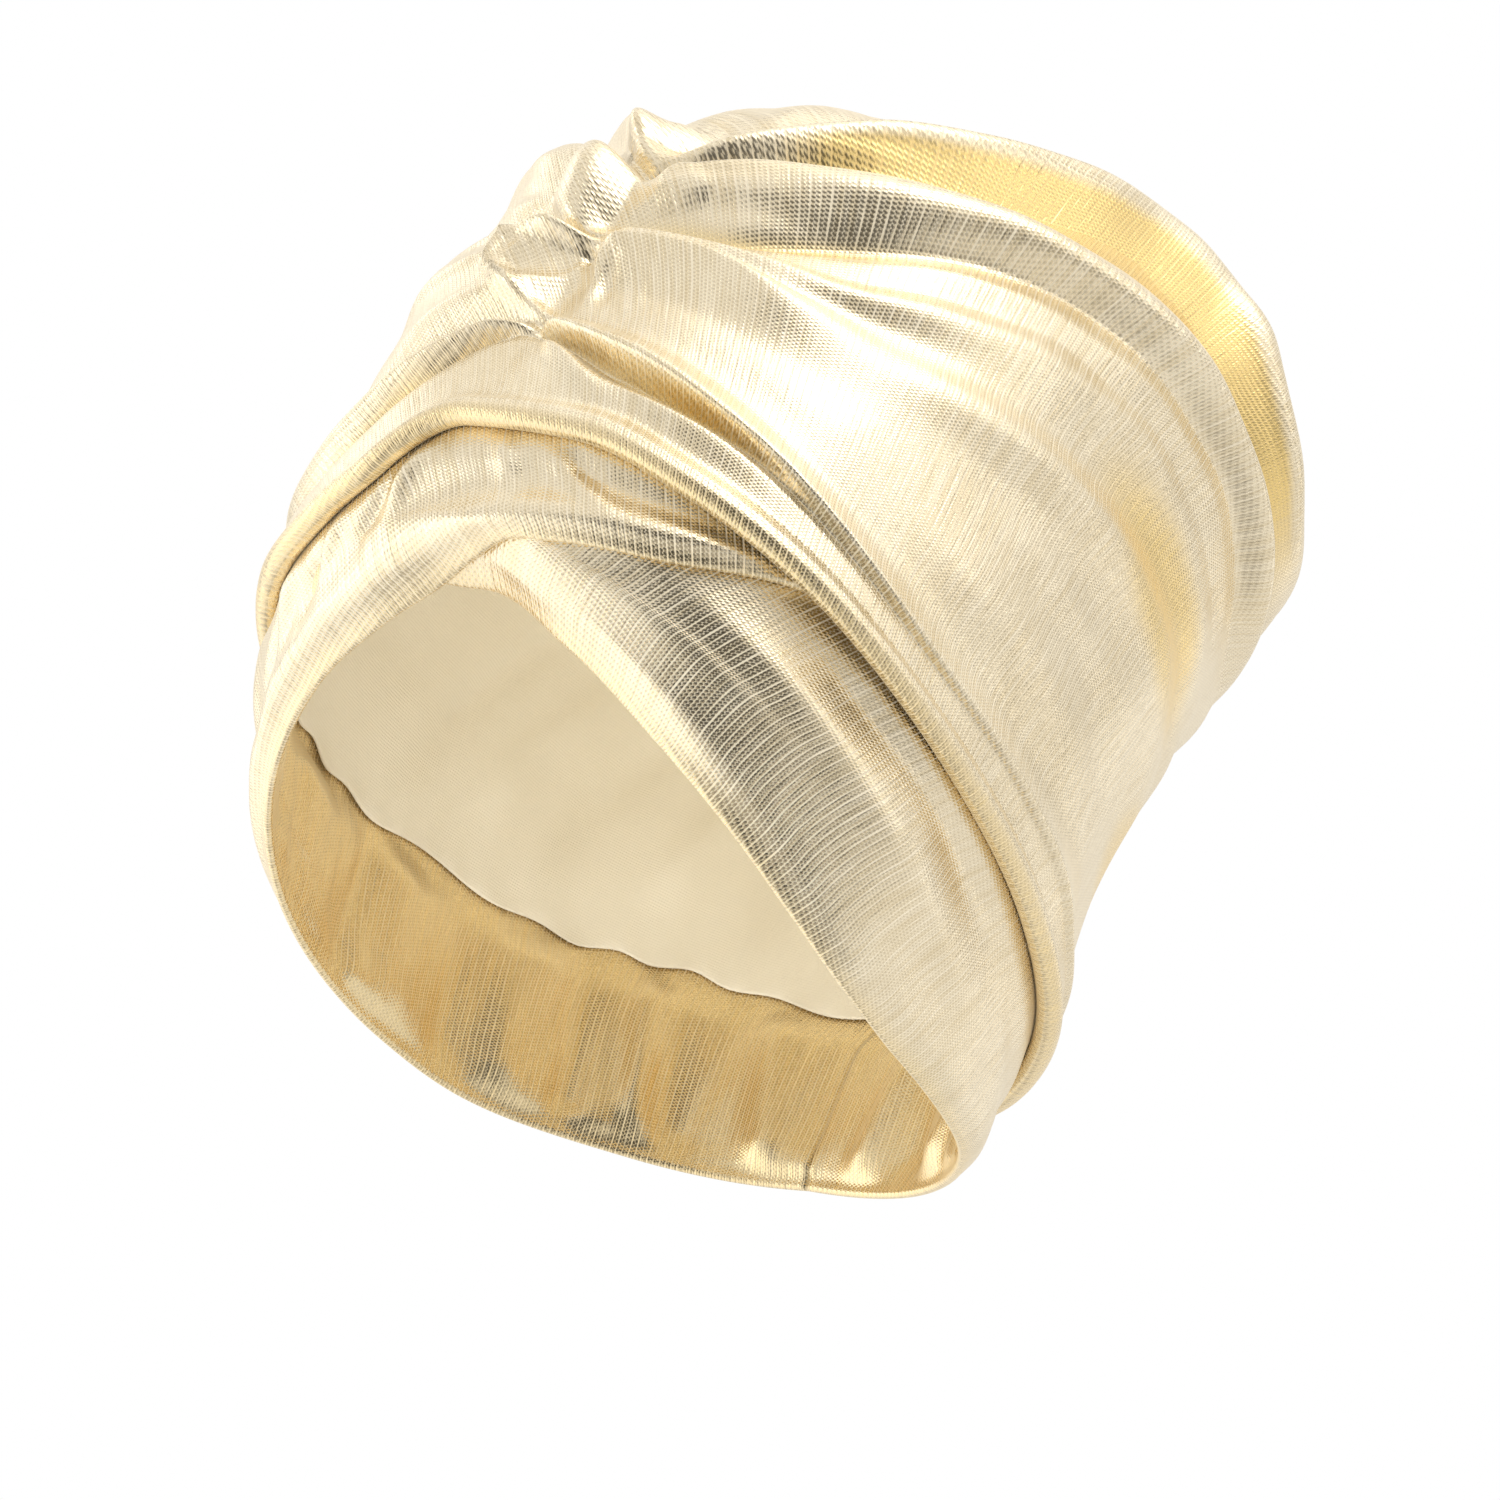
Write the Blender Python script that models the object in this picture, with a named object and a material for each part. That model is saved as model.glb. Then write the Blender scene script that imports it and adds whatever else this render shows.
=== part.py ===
"""Turban hat in metallic knit.

A tall gathered crown stands over two head wraps that cross on the forehead.
A plain cap lines the inside. The crown is pinched together along a seam at
the centre front, and its folds fan out from the pinches to both sides.

The frame is the hat as it is worn: +Z up, front towards -Y, the wearer's left
towards +X, and the origin at the middle of the head opening.
Azimuth is the angle around the head from the centre front, positive towards
the wearer's left. Climb is the height up the body, measured over the top.
All sizes in the tables are millimetres and degrees.
"""
import math

import bpy
import numpy as np

MM = 0.001

# Shape of the body
WIDTH_OVER_DEPTH = 0.885
SQUARENESS = 2.15
BELT_CLIMB = 60.0
TOP_CLIMB = 285.0
FULL_CHANGE_DEPTH = 90.0

# Cloth
CROWN_WALL = 2.0
WRAP_WALL = 2.4
LINING_WALL = 1.3
CLEARANCE = 0.35
CLEAR_OF_WRAPS = 6.0
CROWN_OVER_WRAP = 12.0
LINING_OVER_WRAP = 6.0
LINING_FREE_CLIMB = 100.0

# Depth of each layer's outer face under the body surface
CROWN_INSIDE = 2.15
OVER_WRAP_DEPTH = 2.5
UNDER_WRAP_EXTRA = WRAP_WALL + 0.9
HEM_LIFT = 0.8
EDGE_ROUNDING = 0.7
TOP_ROUNDING = 0.3

# Where the wraps begin and end, in degrees of azimuth
BACK_JOIN = 179.9
OVER_WRAP_TAIL = 54.0
UNDER_WRAP_TUCK = -28.0
LAYERS_PART = 1.0
LAYERS_MEET = 24.0

# Number of facets
CROWN_COLUMNS = 64
CROWN_ROWS = 31
WRAP_STEP = 5
WRAP_ROWS = 7
LINING_COLUMNS = 40
COLUMNS_TO_SEAM = 1.3
EDGE_SHARE = 0.05
LINING_SHARES = (0, 0.12, 0.25, 0.4, 0.54, 0.67, 0.79, 0.9, 0.97)

# Horizontal sections of the body
BODY_SECTIONS = (
    # climb, height, half depth, y of the section's middle
    (-25, -25, 88.0, 1.5),
    (0, 0, 96.0, 0.0),
    (12, 12, 102.0, -4.0),
    (30, 30, 107.0, -8.5),
    (60, 60, 109.5, -10.0),
    (90, 90, 110.5, -6.0),
    (120, 120, 108.5, -2.0),
    (150, 150, 105.5, 5.0),
    (165, 165, 102.0, 9.5),
    (182, 181, 95.0, 16.0),
    (200, 196, 84.0, 24.0),
    (220, 210, 68.0, 33.0),
    (240, 221, 50.0, 42.0),
    (262, 228, 28.0, 51.0),
    (285, 230, 0.0, 58.0),
)
LINING_SECTIONS = (
    # climb, height, half depth, y of the section's middle
    (-25, -25, 88.0, 1.5),
    (0, 0, 96.0, 0.0),
    (12, 12, 102.0, -4.0),
    (30, 30, 107.0, -8.5),
    (60, 60, 108.5, -9.5),
    (90, 90, 106.0, -5.0),
    (120, 120, 98.0, 1.0),
    (142, 140, 85.0, 6.0),
    (162, 156, 66.0, 11.0),
    (184, 168, 40.0, 15.0),
    (208, 173, 12.0, 18.0),
    (220, 173.5, 0.0, 18.0),
)

# How far the body stands out of its plain sections, by level and side, at SHAPE_STATIONS
SHAPE_STATIONS = (0, 30, 60, 90, 120, 140, 160, 180)
SHAPE_LEVELS = (0, 30, 60, 100, 124, 150, 185, 225, 262)
LEFT_SHAPE = (
    (0, 0, 0, 0, 0, -1, -0.5, 0.5),
    (0, 0, 0, 0, -2, -3, -2, 0),
    (0, 0, 0, 0, -4, -6, -3.5, 0),
    (0, 0, 0, 0, -4, -6.5, -4, 0),
    (0, 0, 0, 0, -1, -0.5, 0, 0),
    (0, 0, 0, 1, 4, 5, 3, 1),
    (0, 0, 1, 2, 4, 5, 4, 2),
    (0, 1, 2, 3, 4, 4, 3, 2),
    (0, 0, 0, 0, 0, 0, 0, 0),
)
RIGHT_SHAPE = (
    (0, 1, 4, 5, 3, 1.5, 1, 0.5),
    (0, -1, 1.5, 3, 2, 1, 0, 0),
    (0, -2.5, -1, 1, 1, 0, 0, 0),
    (0, -2.5, -1, 0, 0, 0, 0, 0),
    (0, 0, 0, 0, 0, 0, 0, 0),
    (0, 0, 0, 0, 0, 0, 0, 1),
    (0, 0, 0, 0, 0, 0, 1, 2),
    (0, 0, 0, 0, 1, 1, 1, 2),
    (0, 0, 0, 0, 0, 0, 0, 0),
)

# Lines around the hat: the climb of each line at the azimuths of LINE_STATIONS
LINE_STATIONS = (0, 15, 30, 45, 60, 75, 90, 105, 120, 150, 180)
LEFT_LINES = {
    "rim": (35.5, 28, 17, 7, -2, -9, -12, -12.5, -12, -10.5, -10.5),
    "over_wrap_edge": (38.5, 44.5, 48, 55, 59, 60, 60, 60, 60, 60, 60),
    "under_wrap_edge": (36, 28, 17, 7, -2, -9, -12, -12.5, -12, -10.5, -10.5),
    "lining_edge": (58, 55, 50, 44, 38, 32, 29, 28, 29, 36, 38),
}
RIGHT_LINES = {
    "rim": (35.5, 28, 19, 7.5, -3, -11, -16, -19, -20.5, -15.5, -10.5),
    "over_wrap_edge": (38.5, 28.5, 19, 7.5, -3, -11, -16, -19, -20.5, -15.5, -10.5),
    "under_wrap_edge": (36, 33, 29, 25, 20, 15, 10, 5, 0, 0, 0),
    "lining_edge": (58, 54, 46, 38, 32, 29, 28, 28, 29, 35, 38),
}

# Folds of the crown from the hem up: the climb of each fold line, by side
LEFT_FOLDS = {
    "hem": (67, 67, 61.5, 54.5, 46.5, 39, 32.5, 26.5, 22, 14, 10),
    "neck": (76, 76, 70, 62.5, 53.5, 46, 39.5, 33.5, 28.5, 20, 16),
    "under_fold": (92.5, 82, 76, 67, 56.5, 49, 42.5, 36.5, 31.2, 22.5, 18.5),
    "under_valley": (95, 86.5, 79, 69, 58.6, 51, 44.5, 38.5, 33.2, 24.5, 20.5),
    "first_fold": (97, 91, 81.5, 71, 60.5, 53, 46.5, 40.5, 35, 26.5, 22.5),
    "first_valley": (101, 96.5, 88, 78, 69, 62, 56, 51, 44.5, 36, 32),
    "face": (110, 107, 101, 96, 91, 86, 80, 73, 64, 54, 50),
    "low_pleat": (120, 121.5, 114.5, 111, 111, 109, 104, 97, 87, 76, 71),
    "low_valley": (122, 123.3, 119, 120.5, 122, 122, 117, 110, 100, 91, 88),
    "mid_pleat": (124, 125, 123.7, 130, 135.5, 136, 130, 122, 112, 101, 98),
    "mid_valley": (125.5, 126.5, 128, 137, 143, 143, 137, 129, 119, 110, 108),
    "high_pleat": (127, 128, 133, 144, 149, 148.8, 143, 134, 124.5, 119.5, 120),
    "high_valley": (131, 131, 139, 150.5, 155, 153.5, 148, 139, 129.5, 125.3, 126),
    "third_fold": (144, 149.5, 155, 160.5, 162, 160.3, 154.5, 145, 136, 131.5, 132),
    "third_valley": (148, 160, 171, 180, 186, 181, 170, 156, 144, 138.5, 139),
    "last_fold": (153, 171, 188, 204, 212, 206, 190, 172, 160, 155.5, 156),
    "last_valley": (162, 181, 198, 214, 223, 218, 204, 187, 175, 170, 170),
    "top_low": (190, 203, 216, 228, 235, 232, 223, 212, 200, 194, 193),
    "top_mid": (228, 234, 240, 247, 250, 249, 246, 240, 233, 226, 225),
    "top_high": (258, 260, 262, 265, 267, 267, 267, 265, 262, 257, 256),
}
RIGHT_FOLDS = {
    "hem": (67, 52, 43, 40, 36, 31, 27, 23, 19, 13, 10),
    "neck": (76, 61, 51, 47, 42.5, 37.5, 33.5, 29, 25, 19, 16),
    "under_fold": (92.5, 75, 58, 53, 48, 42.5, 37.5, 32.5, 28, 21.5, 18.5),
    "under_valley": (95, 80.5, 63.5, 57, 51, 45.5, 40.5, 35.5, 30.5, 23.8, 20.5),
    "first_fold": (97, 86, 72.5, 63, 55.5, 49.5, 44, 38.5, 33, 26, 22.5),
    "first_valley": (101, 93, 82, 73, 66, 60, 54.5, 49, 43, 35.5, 32),
    "face": (110, 103, 93, 84, 77, 72, 68, 64, 58.5, 52.5, 50),
    "low_pleat": (120, 112, 101, 93, 87, 82.5, 79, 76, 72.5, 70.5, 71),
    "low_valley": (122, 118.5, 110, 102, 96, 92, 89.5, 87.5, 86, 86.5, 88),
    "mid_pleat": (124, 125, 121, 115, 109, 105, 103, 101, 98.5, 97.5, 98),
    "mid_valley": (125.5, 131, 130, 126, 120.5, 116.5, 114, 111.5, 109, 107.5, 108),
    "high_pleat": (127, 138, 141, 139, 134.5, 130, 126.5, 123.5, 120.8, 119, 120),
    "high_valley": (131, 146, 150, 148.5, 144, 139, 134.5, 131, 128, 125.7, 126),
    "third_fold": (144, 153, 158, 157, 152, 146, 141, 137, 134, 131.5, 132),
    "third_valley": (148, 163, 168, 166, 161, 154.5, 149, 145, 141.2, 138.7, 139),
    "last_fold": (153, 172, 181, 182, 178.5, 173, 168.5, 164.5, 160.5, 157, 156),
    "last_valley": (162, 184, 194, 196, 193, 188, 183, 178.5, 174.5, 170.8, 170),
    "top_low": (190, 204, 212, 214.5, 212, 208, 204, 200.5, 197, 193.8, 193),
    "top_mid": (228, 233, 237, 238, 237, 234.5, 232.5, 230, 227.5, 225.3, 225),
    "top_high": (258, 260, 261, 262, 261, 260, 259, 258, 257, 256, 256),
}

# How far each fold line stands out of the body, or sinks in, by side
SWELL_STATIONS = (0, 6, 22, 45, 70, 100, 140, 180)
LEFT_SWELLS = {
    "hem": (1.5, 2, 2, 2, 2, 2, 2, 2),
    "neck": (0.6, 1.5, 1.2, 1.2, 1.2, 1.2, 1, 1),
    "under_fold": (0, 2.5, 3, 1.2, 1, 1, 1, 1),
    "under_valley": (-1, -2.5, -2.5, 0.7, 1.1, 1.1, 1.1, 1.1),
    "first_fold": (0.5, 4.5, 5, 4, 3, 2.8, 2.2, 1.8),
    "first_valley": (-3, 0, 1, 0.5, 0, 0, 0.3, 0.3),
    "face": (-4, -1, -1, 0.5, 0.5, 0.5, 0.5, 0.5),
    "low_pleat": (-2, 4.5, 4, 1, 0.5, 0.5, 0.5, 0.5),
    "low_valley": (-2, 3, 2, -0.5, -0.5, -0.5, -0.5, -0.5),
    "mid_pleat": (-2, 2.5, 2.5, 2, 1.5, 1.2, 1, 1),
    "mid_valley": (-2, 1, 0.3, 0, 0, 0, 0, 0),
    "high_pleat": (-1.5, -1, -0.5, 0.3, 0.3, 0, 0, 0),
    "high_valley": (-3, -3, -2.5, -1.5, -0.5, -0.5, -0.5, -0.5),
    "third_fold": (0.5, 4.5, 6, 7, 7.5, 7, 4, 2.5),
    "third_valley": (-3, -3, -5, -6.5, -7, -6, -3, -1.5),
    "last_fold": (1, 3.5, 5, 6, 6.5, 6, 3, 2),
    "last_valley": (-2, -1, -0.5, -0.5, 0, 0, -0.5, -0.5),
    "top_low": (-1, 0, 0, 0, 0, 0, 0, 0),
    "top_mid": (0, 0, 0, 0, 0, 0, 0, 0),
    "top_high": (0, 0, 0, 0, 0, 0, 0, 0),
}
RIGHT_SWELLS = {
    "hem": (1.5, 2, 2, 2, 2, 2, 2, 2),
    "neck": (0.6, 1.2, 1.2, 1.2, 1.2, 1.2, 1, 1),
    "under_fold": (0, 0.8, 0.8, 1, 1, 1, 1, 1),
    "under_valley": (-1, -1.8, -1.5, 0.7, 1.1, 1.1, 1.1, 1.1),
    "first_fold": (0.5, 4, 4, 3, 2.5, 2.4, 2, 1.8),
    "first_valley": (-3, -3, -1.5, -0.5, 0, 0, 0.3, 0.3),
    "face": (-4, 2.5, 2, 0.5, 0.5, 0.5, 0.5, 0.5),
    "low_pleat": (-2, 4, 3, 1.5, 0.8, 0.5, 0.5, 0.5),
    "low_valley": (-2, 4, 3, 1.5, 0.5, 0, -0.5, -0.5),
    "mid_pleat": (-2, 4, 4, 2.5, 1.5, 1, 1, 1),
    "mid_valley": (-2, -4, -4, -2, -1, -0.5, 0, 0),
    "high_pleat": (-1.5, 1, 1.5, 1.2, 0.6, 0.5, 0.3, 0),
    "high_valley": (-3, 3, 3.5, 2, 1, 0, -0.3, -0.5),
    "third_fold": (0.5, 5.5, 5.5, 4, 3.5, 3.2, 2.8, 2.5),
    "third_valley": (-3, -2, -3, -2, -1.5, -1.5, -1.5, -1.5),
    "last_fold": (1, 5, 5.5, 4.5, 3.5, 3, 2.5, 2),
    "last_valley": (-2, 0, -1, -1.2, -1, -0.5, -0.5, -0.5),
    "top_low": (-1, 0, 0, 0, 0, 0, 0, 0),
    "top_mid": (0, 0, 0, 0, 0, 0, 0, 0),
    "top_high": (0, 0, 0, 0, 0, 0, 0, 0),
}
HEM_ROLL = 3.6
HEM_ROLL_CLIMB = 4.0


def curve_through(knots, values, x):
    """Smooth curve through the knots, flat where the values turn, read at x."""
    knots = np.asarray(knots, float)
    values = np.asarray(values, float)
    x = np.asarray(x, float)
    column = (-1,) + (1,) * (values.ndim - 1)
    slope = np.diff(values, axis=0) / np.diff(knots).reshape(column)
    product = slope[1:] * slope[:-1]
    total = np.where(product > 0, slope[1:] + slope[:-1], 1.0)
    middle = np.where(product > 0, 2 * product / total, 0.0)
    tangent = np.concatenate([slope[:1], middle, slope[-1:]])
    x = np.clip(x, knots[0], knots[-1])
    i = np.clip(np.searchsorted(knots, x, side="right") - 1, 0, len(knots) - 2)
    span = knots[i + 1] - knots[i]
    t = (x - knots[i]) / span
    if values.ndim > 1:
        span = span.reshape(column)
        t = t.reshape(column)
    blend = t * t * (3 - 2 * t)
    lean = t * (1 - t) * span
    return (values[i] * (1 - blend) + values[i + 1] * blend
            + lean * ((1 - t) * tangent[i] - t * tangent[i + 1]))


def ease(start, end, x):
    """Smooth step from 0 at start to 1 at end."""
    t = np.clip((x - start) / (end - start), 0, 1)
    return t * t * (3 - 2 * t)


def around(stations, left, right, azimuth):
    """Read a two-sided table row at any azimuth in degrees."""
    stations = np.asarray(stations, float)
    knots = np.concatenate([-stations[:0:-1], stations])
    values = np.concatenate([np.asarray(right, float)[:0:-1], np.asarray(left, float)])
    return curve_through(knots, values, azimuth)


def line(name, azimuth):
    """Climb of a named line around the hat."""
    return around(LINE_STATIONS, LEFT_LINES[name], RIGHT_LINES[name], azimuth)


def fold_climb(name, azimuth):
    """Climb of a named fold line of the crown."""
    return around(LINE_STATIONS, LEFT_FOLDS[name], RIGHT_FOLDS[name], azimuth)


def fold_swell(name, azimuth):
    """How far a named fold line stands out of the body."""
    return around(SWELL_STATIONS, LEFT_SWELLS[name], RIGHT_SWELLS[name], azimuth)


def shape_change(azimuth, level):
    """How far the body stands out of its plain sections: each level's row, eased into the next one's."""
    rows = [around(SHAPE_STATIONS, left, right, azimuth) for left, right in zip(LEFT_SHAPE, RIGHT_SHAPE)]
    change = rows[0]
    for index, row in enumerate(rows[1:]):
        step = ease(SHAPE_LEVELS[index], SHAPE_LEVELS[index + 1], level)
        change = change + (row - rows[index]) * step
    return change


def body_point(azimuth, climb, sections):
    """Point of the body: a rounded oval section at each climb above the slanting rim."""
    table = np.asarray(sections, float)
    rim = line("rim", azimuth)
    lowered = BELT_CLIMB * (climb - rim) / (BELT_CLIMB - rim)
    level = np.where(climb < BELT_CLIMB, lowered, climb)
    height = np.where(climb < BELT_CLIMB, climb, curve_through(table[:, 0], table[:, 1], climb))
    half_depth = curve_through(table[:, 0], table[:, 2], level)
    centre_y = curve_through(table[:, 0], table[:, 3], level)
    angle = np.radians(azimuth)
    forward = np.abs(np.cos(angle)) ** SQUARENESS
    sideways = np.abs(np.sin(angle) / WIDTH_OVER_DEPTH) ** SQUARENESS
    reach = half_depth / (forward + sideways) ** (1 / SQUARENESS)
    reach = reach + shape_change(azimuth, level) * np.minimum(half_depth / FULL_CHANGE_DEPTH, 1)
    return np.stack([reach * np.sin(angle), centre_y - reach * np.cos(angle), height], axis=-1)


def body_surface(azimuth, climb, out, sections=BODY_SECTIONS):
    """Body point moved out along the surface normal by the distance out."""
    step = 0.5
    point = body_point(azimuth, climb, sections)
    along = body_point(azimuth + step, climb, sections) - body_point(azimuth - step, climb, sections)
    up = body_point(azimuth, climb + step, sections) - body_point(azimuth, climb - step, sections)
    normal = np.cross(along, up)
    size = np.linalg.norm(normal, axis=-1, keepdims=True)
    normal = normal / np.where(size > 0, size, 1)
    return point + normal * np.asarray(out)[..., None]


def crown_rows(azimuth, count):
    """Climb and swell of the crown from the hem to near the top, row by row."""
    names = list(LEFT_FOLDS)
    hem = fold_climb("hem", azimuth)
    climbs = [hem, hem + HEM_ROLL_CLIMB] + [fold_climb(name, azimuth) for name in names[1:]]
    swells = [fold_swell("hem", azimuth), np.full(azimuth.shape, HEM_ROLL)]
    swells += [fold_swell(name, azimuth) for name in names[1:]]
    row = np.linspace(0, len(climbs) - 1, count)
    knots = np.arange(len(climbs))
    return curve_through(knots, np.array(climbs), row), curve_through(knots, np.array(swells), row)


def wrap_top(azimuth):
    """Climb of the wraps' hidden top edge: under the crown's hem, and past the lining's edge."""
    below_crown = fold_climb("hem", azimuth) + CROWN_OVER_WRAP
    return np.maximum(below_crown, line("lining_edge", azimuth) + LINING_OVER_WRAP)


def under_wrap_sink(azimuth):
    """Extra depth of the under wrap where it runs behind the over wrap."""
    return UNDER_WRAP_EXTRA * (1 - ease(OVER_WRAP_TAIL + LAYERS_PART, OVER_WRAP_TAIL + LAYERS_MEET, azimuth))


def lining_depth(azimuth):
    """Depth of the lining's outer face: just inside the innermost wrap."""
    part = ease(UNDER_WRAP_TUCK - LAYERS_MEET, UNDER_WRAP_TUCK - LAYERS_PART, azimuth)
    return OVER_WRAP_DEPTH + WRAP_WALL + CLEARANCE + under_wrap_sink(azimuth) * part


def clear_scene():
    """Remove every object that is already in the scene."""
    for thing in list(bpy.data.objects):
        bpy.data.objects.remove(thing, do_unlink=True)


def make_cloth(name, colour, roughness, metallic):
    """Principled material of one piece."""
    material = bpy.data.materials.new(name)
    material.use_nodes = True
    shader = material.node_tree.nodes["Principled BSDF"]
    shader.inputs["Base Color"].default_value = (*colour, 1)
    shader.inputs["Roughness"].default_value = roughness
    shader.inputs["Metallic"].default_value = metallic
    return material


def add_piece(name, points, faces, material):
    """Put one closed mesh, given in millimetres, into the scene."""
    mesh = bpy.data.meshes.new(name)
    mesh.from_pydata([tuple(p) for p in np.asarray(points) * MM], [], faces)
    mesh.materials.append(material)
    mesh.shade_smooth()
    mesh.validate()
    piece = bpy.data.objects.new(name, mesh)
    bpy.context.scene.collection.objects.link(piece)
    return piece


def ring_faces(rows, columns, closed):
    """Quads of a grid whose rows run up a loop of cloth."""
    faces = []
    for row in range(rows - 1):
        for column in range(columns if closed else columns - 1):
            side = (column + 1) % columns
            a, b = row * columns + column, row * columns + side
            faces.append((a, b, b + columns, a + columns))
    return faces


def dome_shell(name, outer, outer_top, inner, inner_top, material):
    """Close a dome of cloth: outer rows up to the top, inner rows back down, hem between."""
    rows, columns = outer.shape[:2]
    loops = np.concatenate([inner[::-1], outer])
    points = np.concatenate([loops.reshape(-1, 3), [outer_top, inner_top]])
    faces = ring_faces(rows * 2, columns, True)
    last = (rows * 2 - 1) * columns
    top = rows * 2 * columns
    for column in range(columns):
        side = (column + 1) % columns
        faces.append((last + column, last + side, top))
        faces.append((side, column, top + 1))
    return add_piece(name, points, faces, material)


def build_crown(material):
    """Gathered crown with a rolled hem, its inner face following the folds."""
    turn = np.linspace(-1, 1, CROWN_COLUMNS, endpoint=False)
    azimuth = 180 * np.sign(turn) * np.abs(turn) ** COLUMNS_TO_SEAM
    climb, swell = crown_rows(azimuth, CROWN_ROWS)
    outer = body_surface(azimuth, climb, swell)
    inside = np.maximum(swell - CROWN_WALL, -CROWN_INSIDE)
    free = climb > wrap_top(azimuth) + CLEAR_OF_WRAPS
    inside = np.where(free, swell - CROWN_WALL, inside)
    inside[0] = -CROWN_INSIDE
    lift = np.zeros((CROWN_ROWS, 1))
    lift[0] = HEM_LIFT
    inner = body_surface(azimuth, climb + lift, inside)
    top = body_point(np.zeros(1), np.full(1, TOP_CLIMB), BODY_SECTIONS)[0]
    return dome_shell("crown", outer, top, inner, top - (0, 0, CROWN_WALL), material)


def wrap_azimuths(start, end):
    """Azimuths of a wrap's columns: whole steps, the same for both wraps, between its two ends."""
    first = math.floor(start / WRAP_STEP) + 1
    last = math.ceil(end / WRAP_STEP) - 1
    steps = WRAP_STEP * np.arange(first, last + 1)
    return np.concatenate([[start], steps, [end]])


def build_wrap(name, azimuth, low, high, depth, material):
    """Band of doubled cloth between two lines, with a rounded lower edge and square ends."""
    share = np.concatenate([[0], np.linspace(EDGE_SHARE, 1, WRAP_ROWS - 1)])[:, None]
    climb = low + (high - low) * share
    round_off = EDGE_ROUNDING * (share == 0) + TOP_ROUNDING * (share == 1)
    outer = body_surface(azimuth, climb, -depth - round_off)
    inner = body_surface(azimuth, climb, -depth - WRAP_WALL + round_off)
    loops = np.concatenate([inner[::-1], outer, inner[-1:]])
    rows, columns = loops.shape[0] - 1, loops.shape[1]
    points = loops[:rows].reshape(-1, 3)
    faces = ring_faces(rows, columns, False)
    last = (rows - 1) * columns
    for column in range(columns - 1):
        faces.append((last + column, last + column + 1, column + 1, column))
    faces.append(tuple(row * columns for row in range(rows)))
    faces.append(tuple(row * columns + columns - 1 for row in reversed(range(rows))))
    return add_piece(name, points, faces, material)


def build_over_wrap(material):
    """Wrap from the centre back round the wearer's right and across the forehead."""
    azimuth = wrap_azimuths(-BACK_JOIN, OVER_WRAP_TAIL)
    low = line("over_wrap_edge", azimuth)
    high = wrap_top(azimuth)
    return build_wrap("over_wrap", azimuth, low, high, np.full(azimuth.shape, OVER_WRAP_DEPTH), material)


def build_under_wrap(material):
    """Wrap from the centre back round the wearer's left and behind the other at the front."""
    azimuth = wrap_azimuths(UNDER_WRAP_TUCK, BACK_JOIN)
    low = line("under_wrap_edge", azimuth)
    high = wrap_top(azimuth)
    return build_wrap("under_wrap", azimuth, low, high, OVER_WRAP_DEPTH + under_wrap_sink(azimuth), material)


def build_lining(material):
    """Head-size cap that starts inside the wraps."""
    azimuth = np.linspace(-180, 180, LINING_COLUMNS, endpoint=False)
    low = line("lining_edge", azimuth)
    share = np.array(LINING_SHARES)[:, None]
    top_climb = LINING_SECTIONS[-1][0]
    climb = low + (top_climb - low) * share
    depth = lining_depth(azimuth) * (1 - ease(LINING_FREE_CLIMB, top_climb, climb))
    outer = body_surface(azimuth, climb, -depth, LINING_SECTIONS)
    inner = body_surface(azimuth, climb, -depth - LINING_WALL, LINING_SECTIONS)
    top = body_point(np.zeros(1), np.full(1, float(top_climb)), LINING_SECTIONS)[0]
    return dome_shell("lining", outer, top, inner, top - (0, 0, LINING_WALL), material)


def build_hat():
    """Build every piece of the hat."""
    clear_scene()
    gold = make_cloth("gold_knit", (0.78, 0.66, 0.42), 0.33, 0.9)
    build_crown(gold)
    build_over_wrap(make_cloth("gold_over_wrap", (0.76, 0.64, 0.41), 0.34, 0.9))
    build_under_wrap(make_cloth("gold_under_wrap", (0.74, 0.62, 0.4), 0.35, 0.9))
    build_lining(make_cloth("beige_lining", (0.72, 0.64, 0.48), 0.85, 0.0))


build_hat()
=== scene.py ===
"""Looks of the turban hat: shaped cloth, metallic rib knit, lining, camera and soft light.

Azimuth is the angle around the head in degrees, 0 at the centre front and positive
towards the wearer's left. Climb is the height up the body in millimetres, measured
over the top. Tables and cloth sizes are in millimetres, and meshes in metres.
"""
import math
from functools import partial

import bpy
import numpy as np
from mathutils import Matrix, Vector


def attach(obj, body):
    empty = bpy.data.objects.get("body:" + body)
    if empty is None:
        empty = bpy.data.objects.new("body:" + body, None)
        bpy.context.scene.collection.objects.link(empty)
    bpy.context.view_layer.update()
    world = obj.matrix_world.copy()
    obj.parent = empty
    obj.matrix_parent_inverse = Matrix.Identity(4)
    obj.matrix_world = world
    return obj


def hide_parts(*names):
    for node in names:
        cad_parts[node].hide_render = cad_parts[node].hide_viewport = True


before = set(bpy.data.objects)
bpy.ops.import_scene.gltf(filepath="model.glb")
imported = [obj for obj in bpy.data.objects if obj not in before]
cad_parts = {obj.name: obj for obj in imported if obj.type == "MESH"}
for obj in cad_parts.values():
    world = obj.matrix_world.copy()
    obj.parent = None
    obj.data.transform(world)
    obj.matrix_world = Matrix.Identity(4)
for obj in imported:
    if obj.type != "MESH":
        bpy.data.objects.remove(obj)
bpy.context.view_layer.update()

MM = 0.001

# Shape of the body
WIDTH_OVER_DEPTH = 0.885
SQUARENESS = 2.15
BELT_CLIMB = 60.0
TOP_CLIMB = 285.0
MEAN_RADIUS = 100.0
FULL_CHANGE_DEPTH = 90.0
# Length of the flat cloth once round the head, in metres
TURN = math.tau * MEAN_RADIUS * MM

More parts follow.
